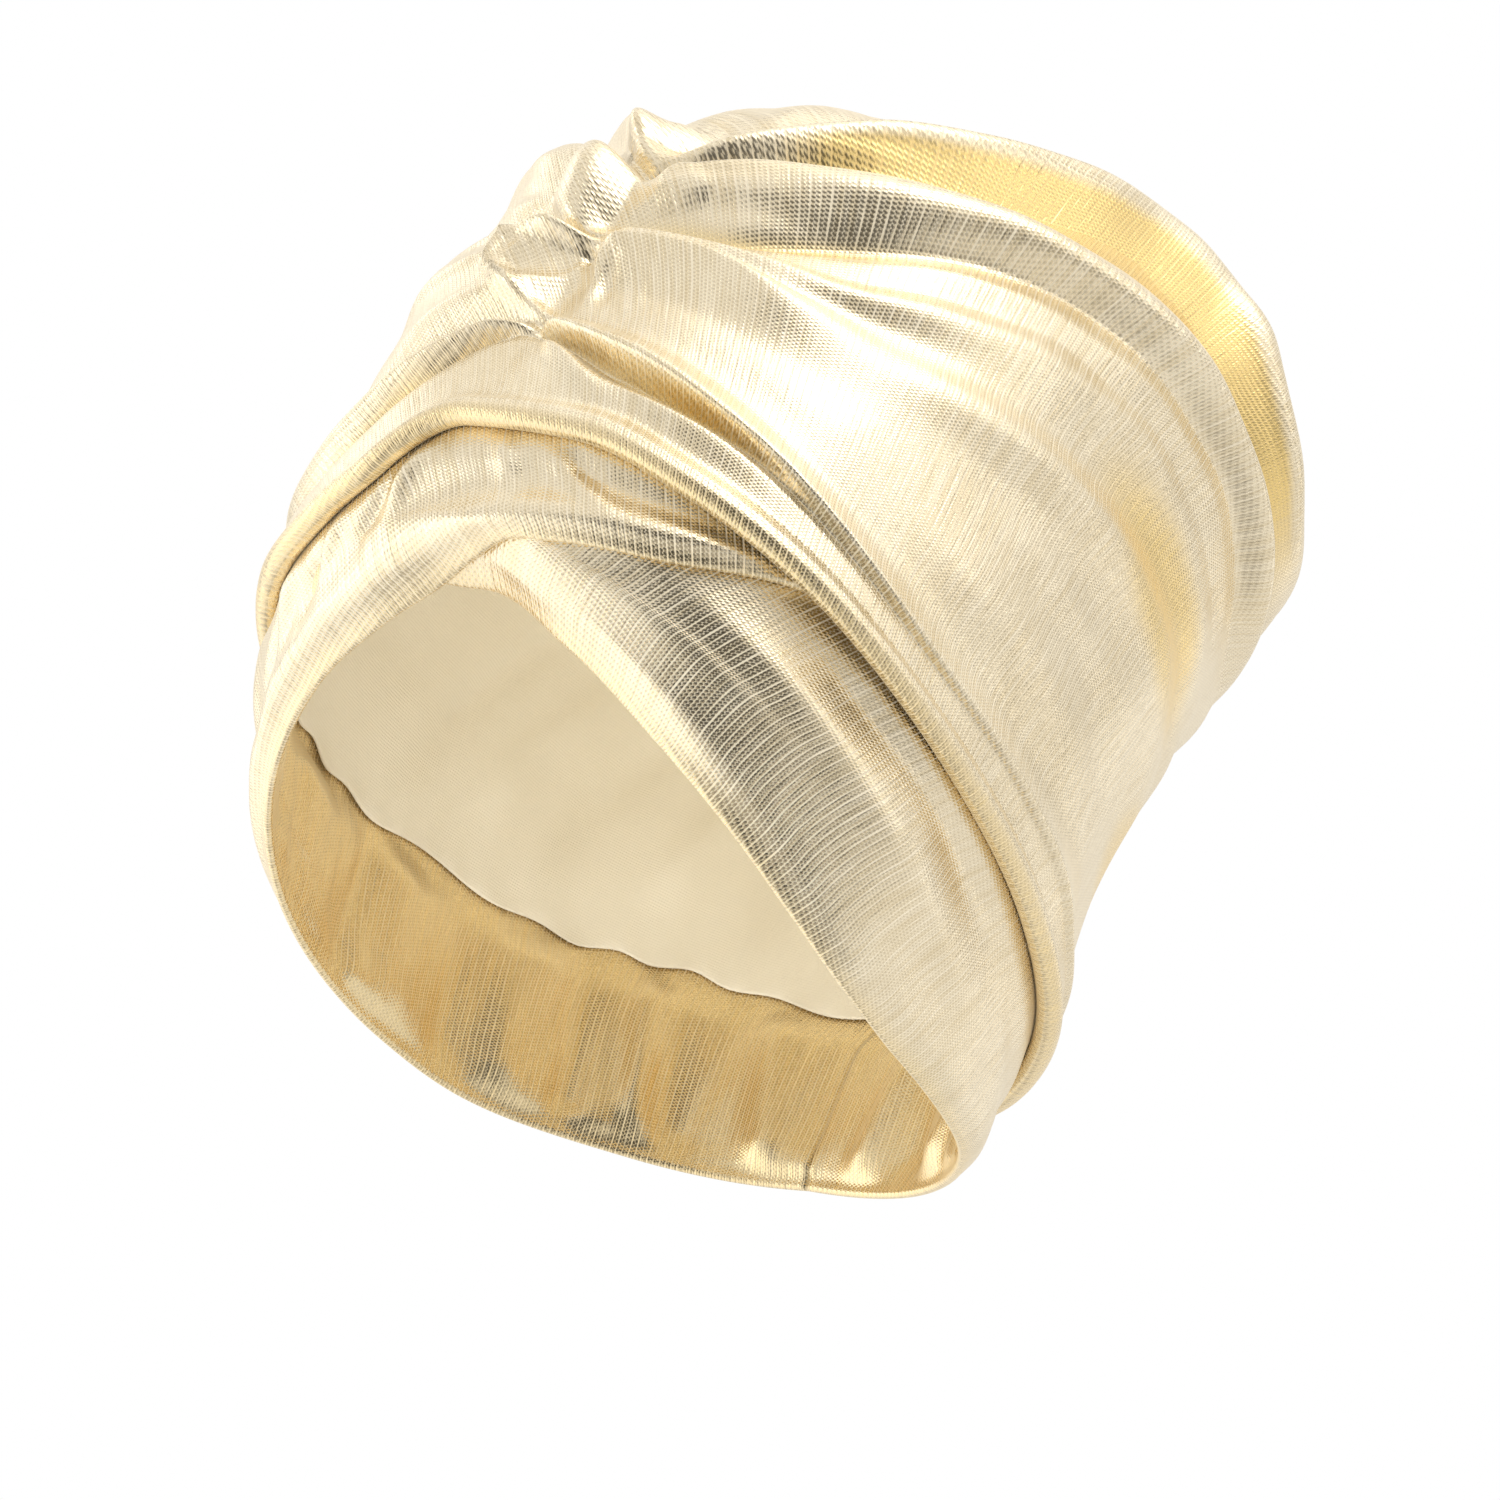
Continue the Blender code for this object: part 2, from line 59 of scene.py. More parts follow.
# Cloth layers: walls, gaps, how deep each lies under the body's surface, the azimuths where
# the wraps end, and the degrees past an end over which the layers below it come out
CROWN_WALL = 1.6
WRAP_WALL = 2.4
LINING_WALL = 1.2
CLEARANCE = 0.35
CROWN_OVER_WRAP = 12.0
LINING_OVER_WRAP = 6.0
CROWN_INSIDE = 2.15
OVER_WRAP_DEPTH = 2.5
UNDER_WRAP_EXTRA = WRAP_WALL + 0.9
LINING_FREE_CLIMB = 100.0
BACK_JOIN = 179.9
OVER_WRAP_TAIL = 54.0
UNDER_WRAP_TUCK = -28.0
LAYERS_PART = 1.0
LAYERS_MEET = 24.0

# Grid sizes: the crown's columns crowd towards the seam by the power COLUMNS_TO_SEAM
CROWN_COLUMNS = 360
CROWN_ROWS = 215
CROWN_TOP_ROWS = 14
CROWN_INNER_ROWS = 30
COLUMNS_TO_SEAM = 1.45
WRAP_DEGREES = 0.9
WRAP_ROWS = 64
LINING_COLUMNS = 240
LINING_ROWS = 90

# Horizontal sections: climb, height, half depth and the y of the section's middle
BODY_SECTIONS = (
    (-25, -25, 88.0, 1.5),
    (0, 0, 96.0, 0.0),
    (12, 12, 102.0, -4.0),
    (30, 30, 107.0, -8.5),
    (60, 60, 109.5, -10.0),
    (90, 90, 110.5, -6.0),
    (120, 120, 108.5, -2.0),
    (150, 150, 105.5, 5.0),
    (165, 165, 102.0, 9.5),
    (182, 181, 95.0, 16.0),
    (200, 196, 84.0, 24.0),
    (220, 210, 68.0, 33.0),
    (240, 221, 50.0, 42.0),
    (262, 228, 28.0, 51.0),
    (285, 230, 0.0, 58.0),
)
LINING_SECTIONS = BODY_SECTIONS[:4] + (
    (60, 60, 108.5, -9.5),
    (90, 90, 106.0, -5.0),
    (120, 120, 98.0, 1.0),
    (142, 140, 85.0, 6.0),
    (162, 156, 66.0, 11.0),
    (184, 168, 40.0, 15.0),
    (208, 173, 12.0, 18.0),
    (220, 173.5, 0.0, 18.0),
)

# How far the body stands out of its plain sections, by level and side, at SHAPE_STATIONS
SHAPE_STATIONS = (0, 30, 60, 90, 120, 140, 160, 180)
SHAPE_LEVELS = (0, 30, 60, 100, 124, 150, 185, 225, 262)
LEFT_SHAPE = (
    (0, 0, 0, 0, 0, -1, -0.5, 0.5),
    (0, 0, 0, 0, -2, -3, -2, 0),
    (0, 0, 0, 0, -4, -6, -3.5, 0),
    (0, 0, 0, 0, -4, -6.5, -4, 0),
    (0, 0, 0, 0, -1, -0.5, 0, 0),
    (0, 0, 0, 1, 4, 5, 3, 1),
    (0, 0, 1, 2, 4, 5, 4, 2),
    (0, 1, 2, 3, 4, 4, 3, 2),
    (0, 0, 0, 0, 0, 0, 0, 0),
)
RIGHT_SHAPE = (
    (0, 1, 4, 5, 3, 1.5, 1, 0.5),
    (0, -1, 1.5, 3, 2, 1, 0, 0),
    (0, -2.5, -1, 1, 1, 0, 0, 0),
    (0, -2.5, -1, 0, 0, 0, 0, 0),
    (0, 0, 0, 0, 0, 0, 0, 0),
    (0, 0, 0, 0, 0, 0, 0, 1),
    (0, 0, 0, 0, 0, 0, 1, 2),
    (0, 0, 0, 0, 1, 1, 1, 2),
    (0, 0, 0, 0, 0, 0, 0, 0),
)

# Lines around the hat: the climb of each line at the azimuths of LINE_STATIONS
LINE_STATIONS = (0, 15, 30, 45, 60, 75, 90, 105, 120, 150, 180)
LEFT_LINES = {
    "rim": (35.5, 28, 17, 7, -2, -9, -12, -12.5, -12, -10.5, -10.5),
    "over_wrap_edge": (38.5, 44.5, 48, 55, 59, 60, 60, 60, 60, 60, 60),
    "under_wrap_edge": (36, 28, 17, 7, -2, -9, -12, -12.5, -12, -10.5, -10.5),
    "lining_edge": (58, 55, 50, 44, 38, 32, 29, 28, 29, 36, 38),
}
RIGHT_LINES = {
    "rim": (35.5, 28, 19, 7.5, -3, -11, -16, -19, -20.5, -15.5, -10.5),
    "over_wrap_edge": (38.5, 28.5, 19, 7.5, -3, -11, -16, -19, -20.5, -15.5, -10.5),
    "under_wrap_edge": (36, 33, 29, 25, 20, 15, 10, 5, 0, 0, 0),
    "lining_edge": (58, 54, 46, 38, 32, 29, 28, 28, 29, 35, 38),
}

# Folds of the crown from the hem up: the climb of each fold line, by side
LEFT_FOLDS = {
    "hem": (67, 67, 61.5, 54.5, 46.5, 39, 32.5, 26.5, 22, 14, 10),
    "neck": (76, 76, 70, 62.5, 53.5, 46, 39.5, 33.5, 28.5, 20, 16),
    "under_fold": (92.5, 82, 76, 67, 56.5, 49, 42.5, 36.5, 31.2, 22.5, 18.5),
    "under_valley": (95, 86.5, 79, 69, 58.6, 51, 44.5, 38.5, 33.2, 24.5, 20.5),
    "first_fold": (97, 91, 81.5, 71, 60.5, 53, 46.5, 40.5, 35, 26.5, 22.5),
    "first_valley": (101, 96.5, 88, 78, 69, 62, 56, 51, 44.5, 36, 32),
    "face": (110, 107, 101, 96, 91, 86, 80, 73, 64, 54, 50),
    "low_pleat": (120, 121.5, 114.5, 111, 111, 109, 104, 97, 87, 76, 71),
    "low_valley": (122, 123.3, 119, 120.5, 122, 122, 117, 110, 100, 91, 88),
    "mid_pleat": (124, 125, 123.7, 130, 135.5, 136, 130, 122, 112, 101, 98),
    "mid_valley": (125.5, 126.5, 128, 137, 143, 143, 137, 129, 119, 110, 108),
    "high_pleat": (127, 128, 133, 144, 149, 148.8, 143, 134, 124.5, 119.5, 120),
    "high_valley": (131, 131, 139, 150.5, 155, 153.5, 148, 139, 129.5, 125.3, 126),
    "third_fold": (144, 149.5, 155, 160.5, 162, 160.3, 154.5, 145, 136, 131.5, 132),
    "third_valley": (148, 160, 171, 180, 186, 181, 170, 156, 144, 138.5, 139),
    "last_fold": (153, 171, 188, 204, 212, 206, 190, 172, 160, 155.5, 156),
    "last_valley": (162, 181, 198, 214, 223, 218, 204, 187, 175, 170, 170),
    "top_low": (190, 203, 216, 228, 235, 232, 223, 212, 200, 194, 193),
    "top_mid": (228, 234, 240, 247, 250, 249, 246, 240, 233, 226, 225),
    "top_high": (258, 260, 262, 265, 267, 267, 267, 265, 262, 257, 256),
}
RIGHT_FOLDS = {
    "hem": (67, 52, 43, 40, 36, 31, 27, 23, 19, 13, 10),
    "neck": (76, 61, 51, 47, 42.5, 37.5, 33.5, 29, 25, 19, 16),
    "under_fold": (92.5, 75, 58, 53, 48, 42.5, 37.5, 32.5, 28, 21.5, 18.5),
    "under_valley": (95, 80.5, 63.5, 57, 51, 45.5, 40.5, 35.5, 30.5, 23.8, 20.5),
    "first_fold": (97, 86, 72.5, 63, 55.5, 49.5, 44, 38.5, 33, 26, 22.5),
    "first_valley": (101, 93, 82, 73, 66, 60, 54.5, 49, 43, 35.5, 32),
    "face": (110, 103, 93, 84, 77, 72, 68, 64, 58.5, 52.5, 50),
    "low_pleat": (120, 112, 101, 93, 87, 82.5, 79, 76, 72.5, 70.5, 71),
    "low_valley": (122, 118.5, 110, 102, 96, 92, 89.5, 87.5, 86, 86.5, 88),
    "mid_pleat": (124, 125, 121, 115, 109, 105, 103, 101, 98.5, 97.5, 98),
    "mid_valley": (125.5, 131, 130, 126, 120.5, 116.5, 114, 111.5, 109, 107.5, 108),
    "high_pleat": (127, 138, 141, 139, 134.5, 130, 126.5, 123.5, 120.8, 119, 120),
    "high_valley": (131, 146, 150, 148.5, 144, 139, 134.5, 131, 128, 125.7, 126),
    "third_fold": (144, 153, 158, 157, 152, 146, 141, 137, 134, 131.5, 132),
    "third_valley": (148, 163, 168, 166, 161, 154.5, 149, 145, 141.2, 138.7, 139),
    "last_fold": (153, 172, 181, 182, 178.5, 173, 168.5, 164.5, 160.5, 157, 156),
    "last_valley": (162, 184, 194, 196, 193, 188, 183, 178.5, 174.5, 170.8, 170),
    "top_low": (190, 204, 212, 214.5, 212, 208, 204, 200.5, 197, 193.8, 193),
    "top_mid": (228, 233, 237, 238, 237, 234.5, 232.5, 230, 227.5, 225.3, 225),
    "top_high": (258, 260, 261, 262, 261, 260, 259, 258, 257, 256, 256),
}

# How far each fold line stands out of the body, or sinks in, by side
SWELL_STATIONS = (0, 6, 22, 45, 70, 100, 140, 180)
LEFT_SWELLS = {
    "hem": (1.5, 2, 2, 2, 2, 2, 2, 2),
    "neck": (0.6, 1.5, 1.2, 1.2, 1.2, 1.2, 1, 1),
    "under_fold": (0, 2.5, 3, 1.2, 1, 1, 1, 1),
    "under_valley": (-1, -2.5, -2.5, 0.7, 1.1, 1.1, 1.1, 1.1),
    "first_fold": (0.5, 4.5, 5, 4, 3, 2.8, 2.2, 1.8),
    "first_valley": (-3, 0, 1, 0.5, 0, 0, 0.3, 0.3),
    "face": (-4, -1, -1, 0.5, 0.5, 0.5, 0.5, 0.5),
    "low_pleat": (-2, 4.5, 4, 1, 0.5, 0.5, 0.5, 0.5),
    "low_valley": (-2, 3, 2, -0.5, -0.5, -0.5, -0.5, -0.5),
    "mid_pleat": (-2, 2.5, 2.5, 2, 1.5, 1.2, 1, 1),
    "mid_valley": (-2, 1, 0.3, 0, 0, 0, 0, 0),
    "high_pleat": (-1.5, -1, -0.5, 0.3, 0.3, 0, 0, 0),
    "high_valley": (-3, -3, -2.5, -1.5, -0.5, -0.5, -0.5, -0.5),
    "third_fold": (0.5, 4.5, 6, 7, 7.5, 7, 4, 2.5),
    "third_valley": (-3, -3, -5, -6.5, -7, -6, -3, -1.5),
    "last_fold": (1, 3.5, 5, 6, 6.5, 6, 3, 2),
    "last_valley": (-2, -1, -0.5, -0.5, 0, 0, -0.5, -0.5),
    "top_low": (-1, 0, 0, 0, 0, 0, 0, 0),
    "top_mid": (0, 0, 0, 0, 0, 0, 0, 0),
    "top_high": (0, 0, 0, 0, 0, 0, 0, 0),
}
# Rows that repeat the left side's are given once
RIGHT_SWELLS = {
    **LEFT_SWELLS,
    "neck": (0.6, 1.2, 1.2, 1.2, 1.2, 1.2, 1, 1),
    "under_fold": (0, 0.8, 0.8, 1, 1, 1, 1, 1),
    "under_valley": (-1, -1.8, -1.5, 0.7, 1.1, 1.1, 1.1, 1.1),
    "first_fold": (0.5, 4, 4, 3, 2.5, 2.4, 2, 1.8),
    "first_valley": (-3, -3, -1.5, -0.5, 0, 0, 0.3, 0.3),
    "face": (-4, 2.5, 2, 0.5, 0.5, 0.5, 0.5, 0.5),
    "low_pleat": (-2, 4, 3, 1.5, 0.8, 0.5, 0.5, 0.5),
    "low_valley": (-2, 4, 3, 1.5, 0.5, 0, -0.5, -0.5),
    "mid_pleat": (-2, 4, 4, 2.5, 1.5, 1, 1, 1),
    "mid_valley": (-2, -4, -4, -2, -1, -0.5, 0, 0),
    "high_pleat": (-1.5, 1, 1.5, 1.2, 0.6, 0.5, 0.3, 0),
    "high_valley": (-3, 3, 3.5, 2, 1, 0, -0.3, -0.5),
    "third_fold": (0.5, 5.5, 5.5, 4, 3.5, 3.2, 2.8, 2.5),
    "third_valley": (-3, -2, -3, -2, -1.5, -1.5, -1.5, -1.5),
    "last_fold": (1, 5, 5.5, 4.5, 3.5, 3, 2.5, 2),
    "last_valley": (-2, 0, -1, -1.2, -1, -0.5, -0.5, -0.5),
}

# Roll of the hem, and where it stands off the wraps: azimuth, half_width, height
HEM_ROLL = 3.6
HEM_ROLL_CLIMB = 4.0
HEM_STAND_OFF = (44, 17, 1.6)
# How much deeper the deep folds lie
VALLEY_DEEPER = 1.8
# Share of the swells lost at the back, and the azimuths and climbs above the hem over
# which it grows
BACK_CALM = 0.7
CALM_AZIMUTHS = (95, 150)
CALM_CLIMBS = (12, 24)
# Hollow on the left: azimuth, climb, half_width in degrees, half_height, depth
SIDE_HOLLOW = (133, 134, 20, 24, 3.2)
# Climbs between which the crown's relief fades above the hem and below the top, and
# between which its top gathers grow and end
HEM_FADE = (4, 14)
TOP_FADE = (215, 260)
GATHERS_GROW = (200, 245)
GATHERS_END = (264, 283)
# How much painted golden reflection of the hat's own cloth the wraps' inner faces and lower edges get, from
# 0 to 1
FACING_PAINTED_REFLECTION = 0.5
EDGE_PAINTED_REFLECTION = 0.4
EDGE_PAINTED_REFLECTION_CLIMB = 4.5

# Small creases of the crown: azimuth and climb where each starts and ends, how far its
# middle bows up, its height, its half width, all but the azimuths in millimetres
CROWN_CREASES = (
    # from_azimuth, from_climb, to_azimuth, to_climb, bow, height, half_width
    (2, 122.5, -13, 122, 1.5, 3.2, 1.8),
    (-12, 124, -11, 110, -1.5, 3.0, 1.8),
    (-11, 113, 4, 99, -1.5, 3.0, 1.8),
    (3, 119, 5, 102, 1.2, 1.3, 1.5),
    (6, 118, 8, 103, -1, -1.1, 1.8),
    (9, 117, 12, 102, 1, 0.9, 2.0),
    (1, 96, 9, 78, 0, -0.8, 1.8),
    (4, 92, 16, 76, 1, 0.9, 2.0),
    (9, 88, 24, 73, 1, -0.8, 2.0),
    (6, 104, 46, 86, 4, 0.7, 5.0),
    (2, 131, 30, 141, 3, -0.8, 2.4),
    (3, 136, 44, 157, 3, 0.8, 2.6),
    (2, 141, 26, 149, 1, -0.7, 1.8),
    (5, 154, 26, 176, 2, 1.0, 2.0),
    (4, 158, 20, 182, 2, -0.9, 2.0),
    (-4, 100, -30, 88, 3, -0.9, 2.6),
    (-2, 107, -30, 96, 3, 0.9, 2.4),
    (-13, 118, -36, 108, 2, 1.2, 2.6),
    (-13, 123, -38, 118, 2, -1.4, 2.8),
    (-13, 130, -40, 132, 2, 1.3, 2.8),
    (-12, 139, -40, 144, 2, -1.3, 2.6),
    (-13, 147, -40, 154, 3, 1.2, 2.6),
    (-12, 157, -38, 166, 3, -1.2, 2.6),
    (-10, 166, -40, 182, 3, 1.2, 3.0),
    (46, 84, 96, 62, 3, 1.1, 7.0),
    (62, 92, 112, 62, 3, -1.2, 7.0),
    (38, 109, 112, 98, 9, 2.6, 6.0),
    (44, 98, 100, 88, 6, -1.0, 6.0),
    (70, 132, 128, 104, 6, -1.2, 7.0),
    (84, 150, 140, 120, 4, 1.1, 6.0),
    (96, 118, 150, 66, 2, -1.3, 7.0),
    (112, 104, 170, 76, 3, 1.2, 6.0),
    (60, 196, 120, 184, 4, 0.9, 5.0),
    (30, 178, 80, 198, 3, -0.8, 4.0),
    (-60, 120, -120, 96, 3, 1.2, 7.0),
    (-50, 88, -110, 64, 4, -1.2, 8.0),
    (-80, 150, -140, 128, 3, 1.2, 7.0),
    (-96, 108, -160, 80, 3, -1.1, 7.0),
    (-120, 176, -60, 196, 4, 1.0, 6.0),
    (150, 112, 190, 96, 2, 1.0, 7.0),
    (104, 150, 176, 96, 3, 1.3, 5.0),
    (120, 162, 200, 118, 4, -1.4, 6.0),
    (-104, 134, -172, 92, 3, 1.4, 5.0),
    (-112, 150, -196, 120, 4, -1.4, 6.0),
    (128, 176, 214, 150, 4, 1.2, 6.0),
    (-126, 178, -200, 168, 3, -1.1, 6.0),
    (140, 70, 204, 40, 3, 1.2, 5.0),
    (-132, 62, -190, 34, 3, -1.2, 5.0),
    (160, 86, 226, 56, 3, -1.0, 5.5),
)
# Puffs and hollows of the cloth gathered along the seam
SEAM_PUFFS = (
    # azimuth, climb, half_width, half_height, lean in degrees, height
    (-6.0, 140, 9.5, 13.5, 14, 4.6),
    (-5.5, 116, 9.0, 6.0, 30, -3.2),
    (-5.0, 163, 11.0, 6.5, 24, 4.0),
    (-18.0, 146, 12.0, 17.0, 10, 0.9),
    (0.0, 186, 26.0, 15.0, 8, 3.6),
    (7.0, 141, 8.0, 5.5, -10, 1.4),
)
# Points where the seam pulls the cloth in
SEAM_PINCHES = (
    # azimuth, climb, radius, depth
    (0.5, 98, 2.6, 2.4),
    (0.5, 121, 2.8, 3.0),
    (1.0, 148, 3.2, 3.2),
    (5.0, 169, 3.0, 2.4),
)


def curve_through(knots, values, x):
    """Smooth curve through the knots, flat where the values turn, read at x.

    Between two knots it is the cubic that meets both values, with the harmonic mean
    of the neighbouring slopes as its slope at each knot.
    """
    knots = np.asarray(knots, float)
    values = np.asarray(values, float)
    x = np.asarray(x, float)
    column = (-1,) + (1,) * (values.ndim - 1)
    slope = np.diff(values, axis=0) / np.diff(knots).reshape(column)
    product = slope[1:] * slope[:-1]
    total = np.where(product > 0, slope[1:] + slope[:-1], 1.0)
    middle = np.where(product > 0, 2 * product / total, 0.0)
    tangent = np.concatenate([slope[:1], middle, slope[-1:]])
    x = np.clip(x, knots[0], knots[-1])
    i = np.clip(np.searchsorted(knots, x, side="right") - 1, 0, len(knots) - 2)
    span = knots[i + 1] - knots[i]
    t = (x - knots[i]) / span
    if values.ndim > 1:
        span = span.reshape(column)
        t = t.reshape(column)
    blend = t * t * (3 - 2 * t)
    lean = t * (1 - t) * span
    return (values[i] * (1 - blend) + values[i + 1] * blend
            + lean * ((1 - t) * tangent[i] - t * tangent[i + 1]))


def ease(start, end, x):
    """Smooth step: 0 up to start, 1 from end, 3t^2 - 2t^3 between them."""
    t = np.clip((x - start) / (end - start), 0, 1)
    return t * t * (3 - 2 * t)


def bell(x, half_width):
    """Bell exp(-(x / half_width)^2): 1 at 0, and 0.37 at the half width."""
    return np.exp(-(x / half_width) ** 2)


def arc(azimuth):
    """Length around the flat cloth, in millimetres, of an angle around the head."""
    return np.radians(azimuth) * MEAN_RADIUS


def around(stations, left, right, azimuth):
    """Read a two-sided table row at any azimuth, the right side's at the negative ones."""
    stations = np.asarray(stations, float)
    knots = np.concatenate([-stations[:0:-1], stations])
    values = np.concatenate([np.asarray(right, float)[:0:-1], np.asarray(left, float)])
    return curve_through(knots, values, azimuth)


def line(name, azimuth):
    """Climb of a named line around the hat."""
    return around(LINE_STATIONS, LEFT_LINES[name], RIGHT_LINES[name], azimuth)


def fold_climb(name, azimuth):
    """Climb of a named fold line of the crown."""
    return around(LINE_STATIONS, LEFT_FOLDS[name], RIGHT_FOLDS[name], azimuth)


def fold_swell(name, azimuth):
    """How far a named fold line stands out of the body."""
    return around(SWELL_STATIONS, LEFT_SWELLS[name], RIGHT_SWELLS[name], azimuth)


def shape_change(azimuth, level):
    """How far the body stands out of its plain sections: each level's row, eased into the next."""
    rows = [around(SHAPE_STATIONS, *sides, azimuth) for sides in zip(LEFT_SHAPE, RIGHT_SHAPE)]
    change = rows[0]
    for index, row in enumerate(rows[1:]):
        step = ease(SHAPE_LEVELS[index], SHAPE_LEVELS[index + 1], level)
        change = change + (row - rows[index]) * step
    return change


def body_point(azimuth, climb, sections):
    """Point of the body: a rounded oval section at each climb above the slanting rim.

    The section is the superellipse (y/b)^n + (x/(w b))^n = 1, written as a radius at
    each azimuth. b and its middle come from the section table, and below the belt the
    table is stretched so that its zero follows the rim.
    """
    table = np.asarray(sections, float)
    rim = line("rim", azimuth)
    lowered = BELT_CLIMB * (climb - rim) / (BELT_CLIMB - rim)
    level = np.where(climb < BELT_CLIMB, lowered, climb)
    height = np.where(climb < BELT_CLIMB, climb, curve_through(table[:, 0], table[:, 1], climb))
    half_depth = curve_through(table[:, 0], table[:, 2], level)
    centre_y = curve_through(table[:, 0], table[:, 3], level)
    angle = np.radians(azimuth)
    forward = np.abs(np.cos(angle)) ** SQUARENESS
    sideways = np.abs(np.sin(angle) / WIDTH_OVER_DEPTH) ** SQUARENESS
    reach = half_depth / (forward + sideways) ** (1 / SQUARENESS)
    reach = reach + shape_change(azimuth, level) * np.minimum(half_depth / FULL_CHANGE_DEPTH, 1)
    return np.stack([reach * np.sin(angle), centre_y - reach * np.cos(angle), height], axis=-1)


def body_surface(azimuth, climb, out, sections=BODY_SECTIONS):
    """Body point moved out along the normal, which is the cross product of its two directions."""
    step = 0.5
    point = body_point(azimuth, climb, sections)
    along = body_point(azimuth + step, climb, sections) - body_point(azimuth - step, climb, sections)
    up = body_point(azimuth, climb + step, sections) - body_point(azimuth, climb - step, sections)
    normal = np.cross(along, up)
    size = np.linalg.norm(normal, axis=-1, keepdims=True)
    normal = normal / np.where(size > 0, size, 1)
    return point + normal * np.asarray(out)[..., None]


def crown_rows(azimuth, row_share):
    """Climb and swell of the crown at each share of the way through its fold lines."""
    names = list(LEFT_FOLDS)
    hem = fold_climb("hem", azimuth)
    climbs = [hem, hem + HEM_ROLL_CLIMB] + [fold_climb(name, azimuth) for name in names[1:]]
    swells = [fold_swell("hem", azimuth), np.full(azimuth.shape, HEM_ROLL)]
    swells += [fold_swell(name, azimuth) for name in names[1:]]
    row = row_share * (len(climbs) - 1)
    knots = np.arange(len(climbs))
    return curve_through(knots, np.array(climbs), row), curve_through(knots, np.array(swells), row)


def creases(azimuth, climb, table):
    """Sum of small creases: each is a bell-shaped ridge along a bowed line, fading at both ends.

    On the cloth laid flat, t runs from 0 to 1 along the line, d is the distance from it,
    and the ridge is height * exp(-((d - bow * 4t(1 - t)) / half_width)^2). It grows over
    the line's start, more slowly where it is wide, and fades over its second half. A line
    may run on past the centre back.
    """
    total = np.zeros(np.broadcast(azimuth, climb).shape)
    for start, low, end, high, bow, height, half_width in table:
        run = arc(end - start)
        rise = high - low
        length = math.hypot(run, rise)
        middle = (start + end) / 2
        x = arc((azimuth - middle + 540) % 360 - 180) + run / 2
        z = climb - low
        t = (x * run + z * rise) / length ** 2
        side = math.copysign(1, run) if run else 1
        inside = np.clip(t, 0, 1)
        d = side * (z * run - x * rise) / length - bow * 4 * inside * (1 - inside)
        grown = min(0.38, 0.09 * half_width)
        fade = ease(-0.08, grown, t) * (1 - ease(0.55, 1.08, t))
        total += height * fade * bell(d, half_width)
    return total


def ripple(azimuth, climb, waves):
    """Sum of sine waves over the cloth: height * sin(turns * azimuth + climb wave + phase)."""
    total = np.zeros(np.broadcast(azimuth, climb).shape)
    for turns, per_climb, phase, height in waves:
        wave = np.radians(azimuth) * turns + climb * per_climb * math.tau / 100 + phase
        total += height * np.sin(wave)
    return total


# Slow waves of each cloth: turns round the head, turns per 100 mm of climb, phase, height
CROWN_WAVES = (
    (3, 0.9, 0.4, 0.6),
    (5, -0.6, 1.9, 0.5),
    (8, 1.3, 2.6, 0.4),
    (13, -1.6, 0.9, 0.25),
    (19, 2.2, 1.1, 0.12),
)
FACING_WAVES = ((29, 0.8, 0.3, 0.28), (43, -1.4, 1.3, 0.22), (61, 2.1, 2.2, 0.12))
WRAP_WAVES = ((6, 0.7, 0.3, 0.25), (11, -0.8, 1.3, 0.2), (17, 1.1, 2.2, 0.12))
# How far the facing comes in towards the head, and the climb that it takes, with waves
FACING_LEAN = 4.2
FACING_LEAN_CLIMB = 9.0
FACING_LEAN_WAVES = ((9, 0, 1.2, 5), (23, 0, 0, 3))


def wrap_top(azimuth):
    """Climb of the wraps' hidden top edge: under the crown's hem, and past the lining's edge."""
    below_crown = fold_climb("hem", azimuth) + CROWN_OVER_WRAP
    return np.maximum(below_crown, line("lining_edge", azimuth) + LINING_OVER_WRAP)


def under_wrap_sink(azimuth):
    """Extra depth of the under wrap where it runs behind the over wrap."""
    clear = ease(OVER_WRAP_TAIL + LAYERS_PART, OVER_WRAP_TAIL + LAYERS_MEET, azimuth)
    return UNDER_WRAP_EXTRA * (1 - clear)


def lining_depth(azimuth):
    """Depth of the lining's outer face: just inside the innermost wrap."""
    part = ease(UNDER_WRAP_TUCK - LAYERS_MEET, UNDER_WRAP_TUCK - LAYERS_PART, azimuth)
    return OVER_WRAP_DEPTH + WRAP_WALL + CLEARANCE + under_wrap_sink(azimuth) * part


# Lean of the ribs in degrees per millimetre of climb: the crown's by side, and the wraps'
RIB_LEAN_STATIONS = (0, 10, 20, 37, 60, 90, 120, 180)
RIB_LEAN_LEFT = (0.40, 0.30, 0.22, 0.10, 0.02, -0.10, -0.12, 0)
RIB_LEAN_RIGHT = (0.40, 0.50, 0.50, 0.35, 0.15, 0.05, 0.02, 0)
RIB_LEAN_CLIMB = 110
RIB_LEAN_TOP = 200
OVER_WRAP_RIB_LEAN = 0.22
UNDER_WRAP_RIB_LEAN = -0.35


def cloth_place(across, climb):
    """Place on the flat cloth in metres: across the ribs from an azimuth, and along them."""
    return arc(across) * MM, climb * MM


def crown_cloth_place(azimuth, climb):
    """Place on the crown's cloth, whose ribs lean as the table says."""
    lean = around(RIB_LEAN_STATIONS, RIB_LEAN_LEFT, RIB_LEAN_RIGHT, azimuth)
    return cloth_place(azimuth + lean * (np.minimum(climb, RIB_LEAN_TOP) - RIB_LEAN_CLIMB), climb)


def add_object(name, data):
    """New object in the scene."""
    made = bpy.data.objects.new(name, data)
    bpy.context.scene.collection.objects.link(made)
    return made


